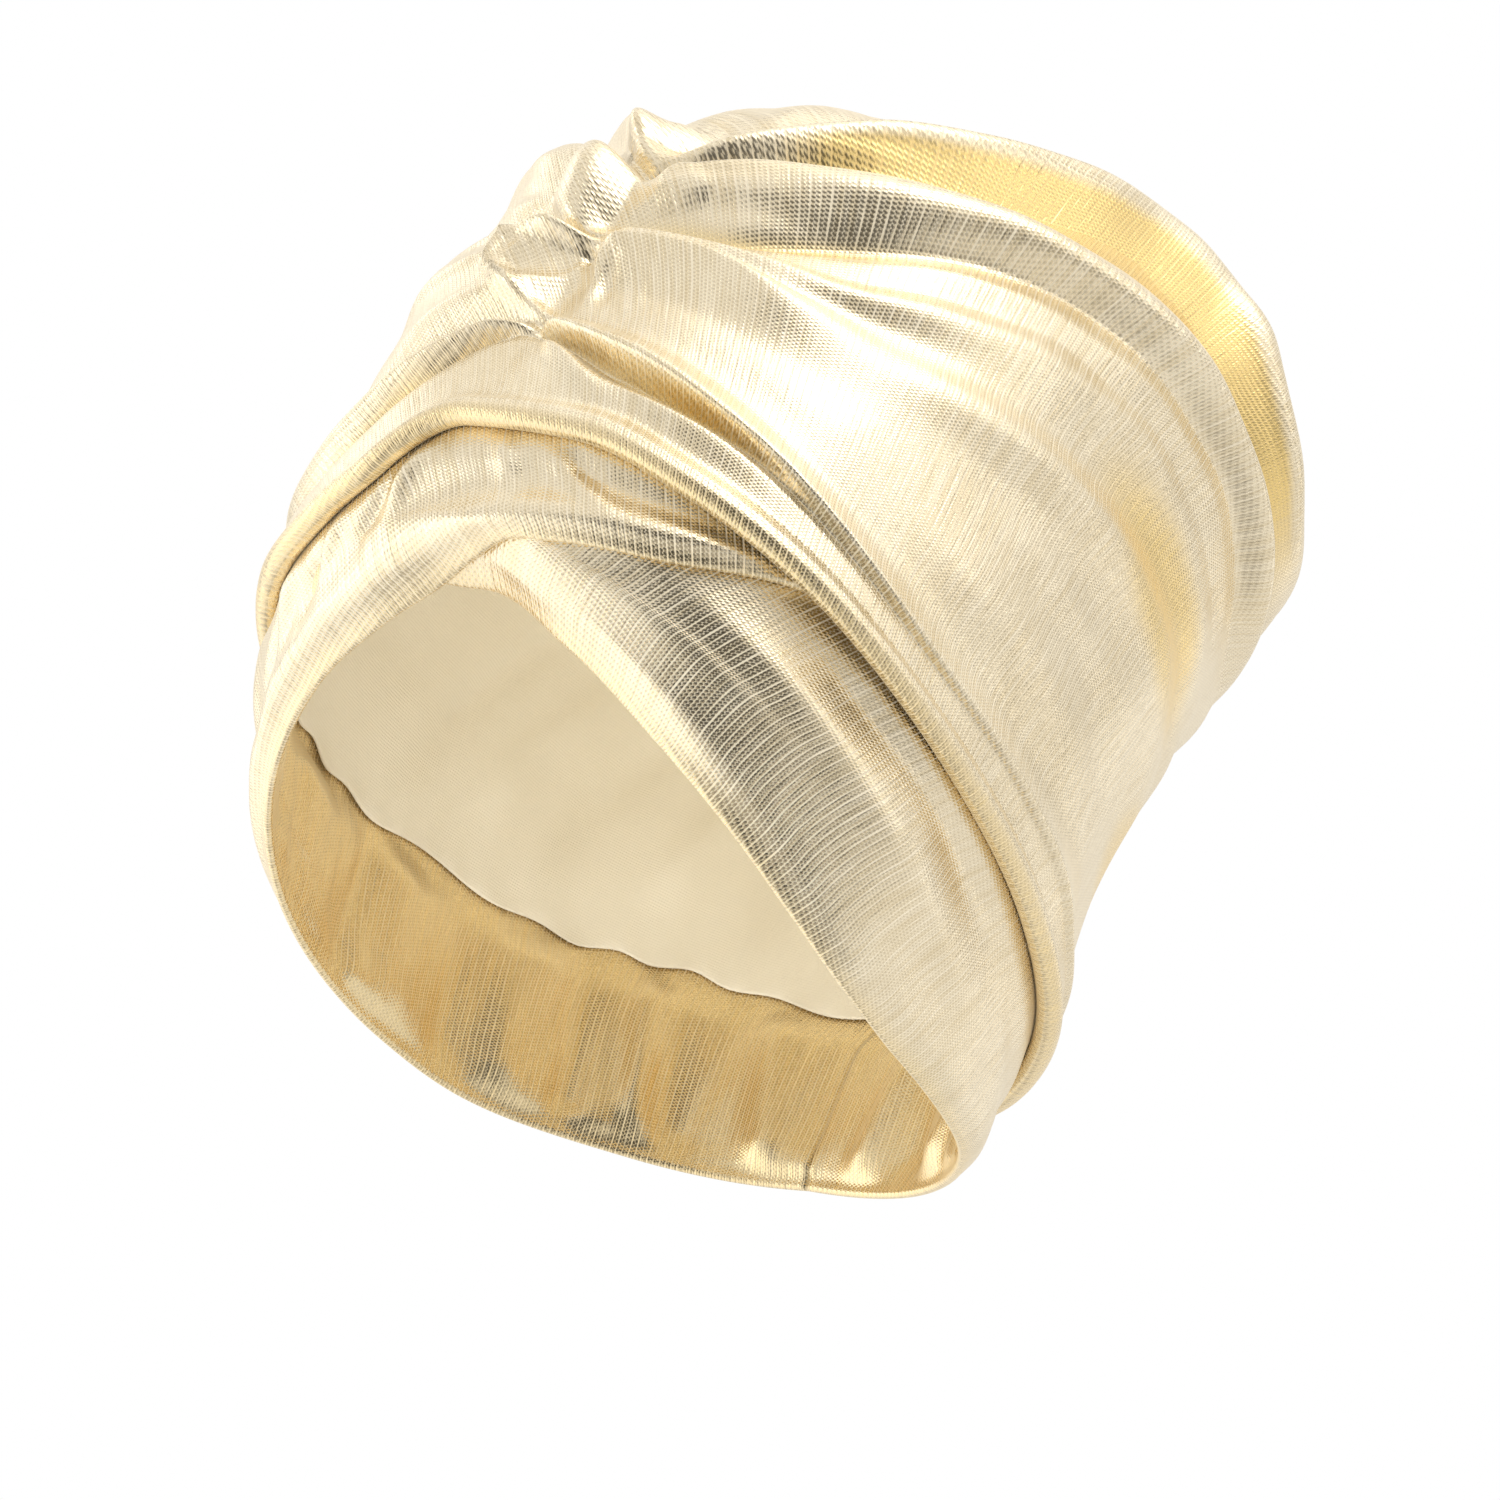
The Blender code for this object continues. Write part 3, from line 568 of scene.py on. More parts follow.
def grid_faces(rows, columns, closed):
    """Quads of a grid of points, row by row, as an array of four point numbers each."""
    row = np.arange(rows - 1)[:, None]
    column = np.arange(columns if closed else columns - 1)[None, :]
    side = (column + 1) % columns
    quads = np.stack([row * columns + column, row * columns + side,
                      (row + 1) * columns + side, (row + 1) * columns + column], axis=-1)
    return quads.reshape(-1, 4)


def make_mesh(name, points, quads, triangles, across, along, material, painted_reflection=None):
    """Mesh object from arrays, with the cloth place of each point as its UV map.

    A face that crosses the centre back has the places on its far side moved on by one
    whole turn, so that the pattern runs through.
    """
    corners = np.concatenate([quads.ravel(), triangles.ravel()])
    sizes = np.concatenate([np.full(len(quads), 4), np.full(len(triangles), 3)])
    starts = np.concatenate([[0], np.cumsum(sizes)[:-1]])
    mesh = bpy.data.meshes.new(name)
    mesh.vertices.add(len(points))
    mesh.vertices.foreach_set("co", (np.asarray(points) * MM).astype(np.float32).ravel())
    mesh.loops.add(len(corners))
    mesh.loops.foreach_set("vertex_index", corners.astype(np.int32))
    mesh.polygons.add(len(sizes))
    mesh.polygons.foreach_set("loop_start", starts.astype(np.int32))
    mesh.update(calc_edges=True)
    u = across.ravel()[corners]
    widest = np.repeat(np.maximum.reduceat(u, starts), sizes)
    u = np.where(widest - u > TURN / 2, u + TURN, u)
    layer = mesh.uv_layers.new(name="cloth")
    place = np.stack([u, along.ravel()[corners]], axis=-1)
    layer.data.foreach_set("uv", place.astype(np.float32).ravel())
    # Painted golden reflection of the cloth beside each point, read by the knit material
    if painted_reflection is not None:
        painted_reflection_layer = mesh.attributes.new("painted_reflection", "FLOAT", "POINT")
        painted_reflection_layer.data.foreach_set("value", painted_reflection.astype(np.float32).ravel())
    mesh.shade_smooth()
    mesh.materials.append(material)
    return add_object(name, mesh)


def dome_piece(name, rings, places, outer_top, inner_top, material, painted_reflection=None):
    """Closed cloth dome from rings that run from the inner top down to the hem and up the outside."""
    rows, columns = rings.shape[:2]
    points = np.concatenate([rings.reshape(-1, 3), [outer_top, inner_top]])
    last = (rows - 1) * columns
    across = np.concatenate([places[0].ravel(), np.full(2, places[0].ravel()[last + columns // 2])])
    along = np.concatenate([places[1].ravel(), np.full(2, places[1].max())])
    column = np.arange(columns)
    side = (column + 1) % columns
    top = rows * columns
    outer_cap = np.stack([last + column, last + side, np.full(columns, top)], axis=-1)
    inner_cap = np.stack([side, column, np.full(columns, top + 1)], axis=-1)
    quads = grid_faces(rows, columns, True)
    triangles = np.concatenate([outer_cap, inner_cap])
    if painted_reflection is not None:
        painted_reflection = np.concatenate([painted_reflection.ravel(), np.zeros(2)])
    return make_mesh(name, points, quads, triangles, across, along, material, painted_reflection)


def puffs(azimuth, climb):
    """Gathers at the seam: oval domes and round dents.

    A dome is height * (1 - r^2) inside its oval, r being 1 on the oval's rim, and a
    dent is -depth * exp(-(distance / radius)^2).
    """
    total = np.zeros(np.broadcast(azimuth, climb).shape)
    for middle, level, half_width, half_height, lean, height in SEAM_PUFFS:
        x = arc(azimuth - middle)
        z = climb - level
        turn = math.radians(lean)
        across = (x * math.cos(turn) + z * math.sin(turn)) / half_width
        along = (z * math.cos(turn) - x * math.sin(turn)) / half_height
        total += height * np.maximum(1 - across ** 2 - along ** 2, 0)
    for middle, level, radius, depth in SEAM_PINCHES:
        x = arc(azimuth - middle)
        total -= depth * np.exp(-(x ** 2 + (climb - level) ** 2) / radius ** 2)
    return total


def crown_relief(azimuth, climb):
    """Small relief of the crown: creases, puffs, slow waves, a hollow and gathers at the top.

    The hollow on the left is two bells multiplied, one around and one upwards. The top
    gathers are 0.5 (sin(15 azimuth + 2 sin(3 azimuth)) + 0.6 sin(26 azimuth + 1.3)), from
    climb 200 to the pole.
    """
    above_hem = ease(*HEM_FADE, climb - fold_climb("hem", azimuth))
    below_top = 1 - ease(*TOP_FADE, climb)
    turn = np.radians(azimuth)
    gathers = np.sin(15 * turn + 2 * np.sin(3 * turn)) + 0.6 * np.sin(26 * turn + 1.3)
    gathers = gathers * ease(*GATHERS_GROW, climb) * (1 - ease(*GATHERS_END, climb))
    relief = creases(azimuth, climb, CROWN_CREASES) + ripple(azimuth, climb, CROWN_WAVES)
    relief = relief + puffs(azimuth, climb)
    middle, level, half_width, half_height, depth = SIDE_HOLLOW
    hollow = depth * bell(azimuth - middle, half_width) * bell(climb - level, half_height)
    return (relief - hollow) * above_hem * below_top + 0.5 * gathers


# Deep stretches along the fold lines, which sink the cloth and also get a painted golden reflection: how
# far above the line their middle is
DEEP_LINES = (
    # fold line, above_line, half_height, azimuth, half_width in degrees, amount
    ("under_valley", 1, 3, 22, 16, 0.55),
    ("under_valley", 0, 4, -21, 13, 0.8),
    ("high_valley", 0, 4, 20, 22, 0.6),
    ("hem", 1, 3.5, 0, math.inf, 0.5),
)
# Patches of the crown with a painted golden reflection of the folds beside them
PAINTED_REFLECTION_PATCHES = (
    # azimuth, climb, half_width in degrees, half_height, rise per degree, amount
    (98, 112, 25, 15, -0.55, 0.72),
    (130, 70, 15, 14, 0, 0.6),
    (104, 48, 16, 7, -0.3, 0.3),
    (-30, 130, 14, 8, 0, 0.3),
    (16, 150, 16, 6, 0.5, 0.3),
)


def deep_folds(azimuth, climb):
    """How deep each point of the crown lies between folds, from 0 to 1.

    The high fold is deep from below its valley to three quarters of the way up to the
    last fold's crest. The other valleys and the hem are bells across their lines.
    """
    valley = fold_climb("third_valley", azimuth)
    share = (climb - valley) / (fold_climb("last_fold", azimuth) - valley)
    high = ease(-0.5, -0.1, share) * (1 - ease(0.70, 0.88, share))
    stretches = [high * ease(7, 22, azimuth) * (1 - 0.8 * ease(100, 130, azimuth))]
    for name, above_line, half_height, middle, half_width, amount in DEEP_LINES:
        across = bell(climb - fold_climb(name, azimuth) - above_line, half_height)
        stretches.append(amount * across * bell(azimuth - middle, half_width))
    return np.clip(np.maximum.reduce(stretches), 0, 1)


def painted_reflection_patches(azimuth, climb):
    """Painted golden reflection of the patches, from 0 to 1: amount * exp(-r^4), r being 1 on the oval's
    rim.
    """
    total = np.zeros(np.broadcast(azimuth, climb).shape)
    for middle, level, half_width, half_height, slope, amount in PAINTED_REFLECTION_PATCHES:
        x = (azimuth - middle) / half_width
        z = (climb - level - slope * (azimuth - middle)) / half_height
        total = np.maximum(total, amount * np.exp(-(x ** 2 + z ** 2) ** 2))
    return total


def crown_face(azimuth, rows):
    """Climb of the crown's face, from just above its hem to near the pole, and how far it stands out.

    That is the swell of the fold lines, which is less at the back, with the relief on top
    and the deep folds taken away.
    """
    first_share = 1 / len(LEFT_FOLDS)
    climb, swell = crown_rows(azimuth, np.linspace(first_share, 1, rows))
    top_share = np.linspace(0, 0.97, CROWN_TOP_ROWS + 1)[1:, None]
    over_top = climb[-1] + (TOP_CLIMB - climb[-1]) * top_share
    climb = np.concatenate([climb, over_top])
    swell = np.concatenate([swell, 0 * over_top])
    azimuth = azimuth[None, :]
    above_hem = climb - fold_climb("hem", azimuth)
    calm = BACK_CALM * ease(*CALM_AZIMUTHS, np.abs(azimuth)) * ease(*CALM_CLIMBS, above_hem)
    swell = swell * (1 - calm)
    return climb, swell + crown_relief(azimuth, climb) - VALLEY_DEEPER * deep_folds(azimuth, climb)


def make_crown(material):
    """Gathered crown: rolled hem, then the fold lines with their creases, up to the top."""
    turn = np.linspace(-1, 1, CROWN_COLUMNS, endpoint=False)
    azimuth = 180 * np.sign(turn) * np.abs(turn) ** COLUMNS_TO_SEAM
    hem = fold_climb("hem", azimuth)
    climb, out = crown_face(azimuth, CROWN_ROWS)
    middle, half_width, height = HEM_STAND_OFF
    stand_off = height * bell(azimuth - middle, half_width)
    out = out + stand_off * (1 - ease(4, 16, climb - hem))
    inner_climb, inner_out = crown_face(azimuth, CROWN_INNER_ROWS)
    inner_out = inner_out - CROWN_WALL
    on_wraps = inner_climb < wrap_top(azimuth) + 6
    inner_out = np.where(on_wraps, np.maximum(inner_out, -CROWN_INSIDE), inner_out)
    bend = np.radians(np.linspace(-150, -10, 12))[:, None]
    roll_out = CLEARANCE + (HEM_ROLL - CLEARANCE) * np.cos(bend) + stand_off
    roll_climb = hem + HEM_ROLL_CLIMB * (1 + np.sin(bend))
    climbs = np.concatenate([inner_climb[::-1], roll_climb, climb])
    outs = np.concatenate([inner_out[::-1], roll_out, out])
    around_head = azimuth[None, :] + 0 * climbs
    rings = body_surface(around_head, climbs, outs)
    top = body_point(np.zeros(1), np.full(1, TOP_CLIMB), BODY_SECTIONS)[0]
    places = crown_cloth_place(around_head, climbs)
    # Painted golden reflection: deep folds and patches are tinted gold as if they reflected the cloth
    # beside them
    depth = np.maximum(deep_folds(around_head, climbs), painted_reflection_patches(around_head, climbs))
    return dome_piece("crown_cloth", rings, places, top, top - (0, 0, CROWN_WALL), material, depth)


def make_wrap(wrap, azimuth, depth, outside, inside, rib_lean, material):
    """Band of doubled cloth: down its inner face, round the folded lower edge and up its outer face.

    outside and inside are functions of azimuth and climb, and give the relief of each face.
    The folded edge is half a circle as wide as the cloth is thick. The painted golden reflection
    is even inside, and a bell up from the edge outside, where the ribs lean by rib_lean degrees per mm.
    """
    half = WRAP_WALL / 2
    low = line(wrap + "_edge", azimuth)
    high = wrap_top(azimuth)
    depth = depth + 0 * azimuth
    share = np.linspace(0, 1, WRAP_ROWS)[:, None]
    start = low + half
    climb = start + (high - start) * share
    calm = ease(0, 5, climb - low)
    outer_out = -depth + outside(azimuth, climb) * calm
    inner_out = -depth - WRAP_WALL - inside(azimuth, climb) * calm
    bend = np.linspace(-math.pi, 0, 11)[1:-1, None]
    climbs = np.concatenate([climb[::-1], start + half * np.sin(bend), climb])
    outs = np.concatenate([inner_out[::-1], -depth - half + half * np.cos(bend), outer_out])
    around_head = azimuth[None, :] + 0 * climbs
    points = body_surface(around_head, climbs, outs).reshape(-1, 3)
    rows, columns = climbs.shape
    column = np.arange(columns - 1)
    last = (rows - 1) * columns
    top_edge = np.stack([last + column, last + column + 1, column + 1, column], axis=-1)
    middle = rows // 2
    row = np.arange(middle - 1)
    near = row * columns
    far = (rows - 1 - row) * columns
    start_end = np.stack([near, near + columns, far - columns, far], axis=-1)
    finish_end = start_end[:, ::-1] + columns - 1
    quads = np.concatenate([grid_faces(rows, columns, False), top_edge, start_end, finish_end])
    tip = np.array([[middle - 1, middle, middle + 1]]) * columns
    triangles = np.concatenate([tip, tip[:, ::-1] + columns - 1])
    across, along = cloth_place(around_head + rib_lean * (climbs - low), climbs)
    across[:middle] = arc(around_head[:middle]) * MM
    # Painted golden reflection: even over the inner face, and a bell up from the lower edge outside
    edge_painted_reflection = EDGE_PAINTED_REFLECTION * bell(climbs - low, EDGE_PAINTED_REFLECTION_CLIMB)
    wrap_painted_reflection = np.where(np.arange(rows)[:, None] < middle, FACING_PAINTED_REFLECTION, edge_painted_reflection)
    return make_mesh(wrap + "_cloth", points, quads, triangles, across, along, material, wrap_painted_reflection)


def wrap_azimuths(start, end):
    """Azimuths of a wrap's columns, from start to end."""
    return np.linspace(start, end, round((end - start) / WRAP_DEGREES) + 1)


# Height of the roll along each wrap's lower edge, and the small creases of the wraps
OVER_WRAP_ROLL = 2.4
UNDER_WRAP_ROLL = 0.6
OVER_WRAP_CREASES = (
    # from_azimuth, from_climb, to_azimuth, to_climb, bow, height, half_width
    (-3, 72, -10, 42, 1.5, 2.0, 2.4),
    (-8, 68, -17, 36, -1.5, -1.8, 2.4),
    (-13, 66, -25, 29, 1.5, 2.2, 2.8),
    (-19, 62, -32, 23, -1.5, -1.9, 2.8),
    (-25, 60, -41, 16, 1.5, 2.1, 3.2),
    (-33, 56, -50, 8, -1.5, -1.7, 3.4),
    (-42, 54, -62, 3, 2, 1.6, 4.0),
    (-54, 50, -76, 0, -2, -1.1, 4.5),
    (8, 74, 19, 58, 2, -1.9, 2.6),
    (3, 70, 9, 50, 2, 1.7, 2.4),
    (12, 66, 24, 54, -2, 1.4, 2.4),
    (17, 74, 34, 60, 2, 1.6, 2.6),
    (22, 68, 44, 56, 0, -1.1, 2.6),
    (-78, 38, -110, -4, 0, 1.0, 5.0),
    (-104, 32, -140, -10, 0, -1.0, 5.0),
    (-132, 26, -168, -4, 0, 0.9, 5.0),
)
UNDER_WRAP_CREASES = (
    # from_azimuth, from_climb, to_azimuth, to_climb, bow, height, half_width
    (14, 46, 58, 26, 3, -1.5, 4.5),
    (22, 44, 80, 18, 4, 1.7, 4.5),
    (44, 50, 96, 18, 3, -1.4, 5.0),
    (52, 26, 100, 4, 3, 1.3, 5.0),
    (74, 34, 118, 0, 3, -1.0, 6.0),
    (96, 22, 150, -4, 2, -0.9, 5.0),
    (124, 20, 176, 0, 2, 0.8, 5.0),
)
# Inner face of the wraps: upright wrinkles where the cloth is gathered to the lining
FACING_WRINKLES = (
    # azimuth, lean in degrees per millimetre, height, half_width
    (-170, 0.10, 1.6, 4.0), (-158, -0.05, -1.2, 5.0), (-149, 0.12, 1.8, 3.5), (-138, 0.04, -1.3, 4.5),
    (-127, -0.10, 1.5, 5.0), (-116, 0.08, -1.0, 4.0), (-104, 0.10, 1.4, 5.5), (-92, -0.06, -1.1, 4.0),
    (-78, 0.06, 1.2, 6.0), (-62, 0.05, -0.9, 6.0), (-44, 0.04, 1.0, 6.0), (-26, 0.02, -0.7, 6.0),
    (170, -0.10, 1.5, 4.0), (160, 0.08, -1.2, 4.5), (148, -0.12, 1.7, 4.0), (136, 0.05, -1.2, 5.0),
    (124, -0.08, 1.4, 4.5), (112, 0.05, -1.1, 5.0), (99, -0.06, 1.3, 5.0), (84, 0.05, -0.9, 6.0),
    (66, -0.04, 1.0, 6.0), (46, 0.04, -0.8, 6.0),
)


def wrap_relief(wrap, azimuth, climb, table, roll):
    """Outer face of a wrap, above the crown's hem faded out: creases, waves and a rolled edge.

    The roll along the lower edge is a bell of the given height, with a shallow dip above it.
    """
    above = climb - line(wrap + "_edge", azimuth)
    relief = creases(azimuth, climb, table) + ripple(azimuth, climb, WRAP_WAVES)
    relief += roll * (bell(above - 5.5, 4.2) - 0.5 * bell(above - 15, 5.5))
    return relief * (1 - ease(-6, 2, climb - fold_climb("hem", azimuth)))


def facing_relief(azimuth, climb):
    """Lean of the facing towards the head, its upright wrinkles and waves, up to the lining's edge.

    The lean is FACING_LEAN * (1 - exp(-(height above the rim / reach)^1.4)), with a reach
    that waves around the head, and a wrinkle is 1.9 height * exp(-(d / (1.35 half_width))^2).
    """
    above = climb - line("rim", azimuth)
    reach = FACING_LEAN_CLIMB + ripple(azimuth, climb, FACING_LEAN_WAVES)
    total = FACING_LEAN * (1 - np.exp(-(np.maximum(above, 0) / np.maximum(reach, 4)) ** 1.4))
    for middle, lean, height, half_width in FACING_WRINKLES:
        d = arc(azimuth - middle - lean * climb)
        total += 1.9 * height * bell(d, 1.35 * half_width) * ease(0, 10, above)
    total += ripple(azimuth, climb, FACING_WAVES) * ease(0, 12, above)
    return np.maximum(total, 0) * ease(0, 12, line("lining_edge", azimuth) - climb)


def make_over_wrap(material):
    """Wrap from the centre back round the wearer's right and across the forehead to its tail."""

    def outside(azimuth, climb):
        relief = wrap_relief("over_wrap", azimuth, climb, OVER_WRAP_CREASES, OVER_WRAP_ROLL)
        return relief * (1 - ease(40, OVER_WRAP_TAIL - 4, azimuth))

    def inside(azimuth, climb):
        return facing_relief(azimuth, climb) * (1 - ease(-40, -30, azimuth))

    azimuth = wrap_azimuths(-BACK_JOIN, OVER_WRAP_TAIL)
    return make_wrap("over_wrap", azimuth, OVER_WRAP_DEPTH, outside, inside,
                     OVER_WRAP_RIB_LEAN, material)


def make_under_wrap(material):
    """Wrap from the centre back round the wearer's left, going behind the over wrap at the front."""

    def outside(azimuth, climb):
        relief = wrap_relief("under_wrap", azimuth, climb, UNDER_WRAP_CREASES, UNDER_WRAP_ROLL)
        behind = ease(-4, 4, climb - line("over_wrap_edge", azimuth)) * (1 - ease(56, 66, azimuth))
        return relief * (1 - behind) * ease(0, 8, azimuth)

    azimuth = wrap_azimuths(UNDER_WRAP_TUCK, BACK_JOIN)
    depth = OVER_WRAP_DEPTH + under_wrap_sink(azimuth)
    return make_wrap("under_wrap", azimuth, depth, outside, facing_relief,
                     UNDER_WRAP_RIB_LEAN, material)


LINING_CREASES = (
    # from_azimuth, from_climb, to_azimuth, to_climb, bow, height, half_width
    (-20, 70, 10, 130, 2, -1.0, 8.0),
    (30, 60, 70, 140, 2, 1.0, 9.0),
    (80, 45, 110, 150, 2, -1.2, 9.0),
    (-50, 60, -80, 150, 2, 1.0, 9.0),
    (-96, 36, -110, 120, 2, 1.4, 5.0),
    (-110, 36, -120, 100, 2, -1.2, 5.0),
    (-124, 40, -136, 110, 2, 1.4, 6.0),
    (-140, 40, -150, 96, 2, -1.4, 5.0),
    (-158, 42, -160, 120, 2, 1.4, 6.0),
    (-172, 42, -176, 90, 2, -1.3, 5.0),
    (172, 42, 176, 110, 2, 1.3, 5.0),
    (156, 40, 160, 100, 2, -1.2, 5.0),
    (140, 38, 148, 90, 2, 1.3, 5.0),
    (126, 34, 132, 100, 2, -1.2, 6.0),
    (150, 90, 154, 34, 0, 1.3, 1.6),
    (-176, 100, -168, 36, 0, 1.2, 1.6),
)


def make_lining(material):
    """Inner cap: soft cloth gathered to the wraps at its wavy lower edge, with a seam on each side.

    The edge waves by 0.9 sin(23 azimuth + 2 sin(5 azimuth)) + 0.7 sin(9 azimuth), and the
    gathers above it are 0.5 sin(46 azimuth + 3 sin(7 azimuth)) exp(-height / 14).
    """
    azimuth = np.linspace(-180, 180, LINING_COLUMNS, endpoint=False)
    turn = np.radians(azimuth)
    wave = 0.9 * np.sin(23 * turn + 2 * np.sin(5 * turn)) + 0.7 * np.sin(9 * turn)
    low = line("lining_edge", azimuth) + wave
    top = LINING_SECTIONS[-1][0]
    share = np.linspace(0, 0.985, LINING_ROWS)[:, None]
    climb = low + 0.6 + (top - low) * share
    depth = lining_depth(azimuth) * (1 - ease(LINING_FREE_CLIMB, top, climb))
    free = ease(0, 26, climb - low) * (1 - ease(170, 205, climb))
    gathers = 0.5 * np.sin(turn * 46 + 3 * np.sin(turn * 7)) * np.exp(-(climb - low) / 14)
    relief = 2.0 * creases(azimuth, climb, LINING_CREASES) * free
    outer = -depth + np.minimum(relief, 0.9 * free)
    inner = -depth - LINING_WALL + relief + gathers * ease(0, 2, climb - low)
    outer = np.maximum(outer, inner + 0.8 * LINING_WALL)
    bend = np.linspace(-math.pi, 0, 7)[1:-1, None]
    half = LINING_WALL / 2
    edge_climb = low + 0.6 + half * np.sin(bend)
    edge_out = -lining_depth(azimuth) - half + half * np.cos(bend)
    climbs = np.concatenate([climb[::-1], edge_climb, climb])
    outs = np.concatenate([inner[::-1], edge_out, outer])
    around_head = azimuth[None, :] + 0 * climbs
    rings = body_surface(around_head, climbs, outs, LINING_SECTIONS)
    peak = body_point(np.zeros(1), np.full(1, top), LINING_SECTIONS)[0]
    places = cloth_place(around_head, climbs)
    return dome_piece("lining_cloth", rings, places, peak, peak - (0, 0, LINING_WALL), material)


# Knit: ribs once round the head, length of a stitch in metres, and the climbs in metres
# past which a share of all the ribs has ended, as the crown closes
RIB_COUNT = 370
STITCH = 0.0008
RIBS_END = ((0.234, 0.5), (0.259, 0.25))
# Colours of the knit's foil and thread, of the painted golden reflection of nearby cloth on them, and of
# the lining and floor
FOIL = (0.98, 0.87, 0.65, 1)
DARKER_FOIL = (0.87, 0.74, 0.50, 1)
PAINTED_REFLECTION_FOIL = (0.97, 0.73, 0.30, 1)
THREAD = (0.87, 0.79, 0.63, 1)
PAINTED_REFLECTION_THREAD = (0.90, 0.68, 0.32, 1)
# Painted shade seen through the knit's holes
HOLE_SHADE = (0.52, 0.43, 0.32, 1)
SHEEN = (0.95, 0.86, 0.66, 1)
LINING = (0.89, 0.82, 0.66, 1)
LINING_SHADE = (0.84, 0.77, 0.60, 1)
FLOOR = (0.9, 0.9, 0.9, 1)
# Threads of the lining's weave, in radians per metre
WEAVE = 9000.0


def fill(tree, node, inputs):
    """Give a node a value or a link for each named or numbered input."""
    for socket, value in inputs.items():
        if isinstance(value, bpy.types.NodeSocket):
            tree.links.new(value, node.inputs[socket])
        else:
            node.inputs[socket].default_value = value


def new_node(tree, kind, inputs, **settings):
    """Node with its settings and inputs."""
    made = tree.nodes.new(kind)
    for key, value in settings.items():
        setattr(made, key, value)
    fill(tree, made, inputs)
    return made


def calculate(tree, operation, *terms):
    """Output of a Math node."""
    return new_node(tree, "ShaderNodeMath", dict(enumerate(terms)), operation=operation).outputs[0]


def smooth_range(tree, value, low, high, to_low=0.0, to_high=1.0):
    """Output of a smooth Map Range node."""
    inputs = {"Value": value, "From Min": low, "From Max": high, "To Min": to_low, "To Max": to_high}
    mapped = new_node(tree, "ShaderNodeMapRange", inputs, interpolation_type="SMOOTHSTEP")
    return mapped.outputs["Result"]


def noise(tree, vector, scale, detail=2.0):
    """Output of a noise texture on scaled cloth places."""
    scaled = new_node(tree, "ShaderNodeVectorMath", {0: vector, 1: scale}, operation="MULTIPLY")
    inputs = {"Vector": scaled.outputs[0], "Scale": 1.0, "Detail": detail, "Roughness": 0.5}
    return new_node(tree, "ShaderNodeTexNoise", inputs).outputs["Fac"]


def mix_values(tree, share, first, second):
    """Number that goes from first to second with share."""
    mixed = new_node(tree, "ShaderNodeMix", {0: share, 2: first, 3: second}, data_type="FLOAT")
    return mixed.outputs[0]


def mix_colours(tree, share, first, second):
    """Colour that goes from first to second with share."""
    mixed = new_node(tree, "ShaderNodeMix", {0: share, 6: first, 7: second}, data_type="RGBA")
    return mixed.outputs[2]


def new_material(name):
    """Empty node material and its shader."""
    material = bpy.data.materials.new(name)
    material.use_nodes = True
    tree = material.node_tree
    tree.nodes.clear()
    shader = tree.nodes.new("ShaderNodeBsdfPrincipled")
    new_node(tree, "ShaderNodeOutputMaterial", {0: shader.outputs[0]})
    return material, tree, shader


def cloth_place_nodes(tree):
    """The cloth place as a vector, and its two numbers."""
    place = new_node(tree, "ShaderNodeUVMap", {}, uv_map="cloth").outputs[0]
    parts = new_node(tree, "ShaderNodeSeparateXYZ", {0: place})
    return place, parts.outputs[0], parts.outputs[1]


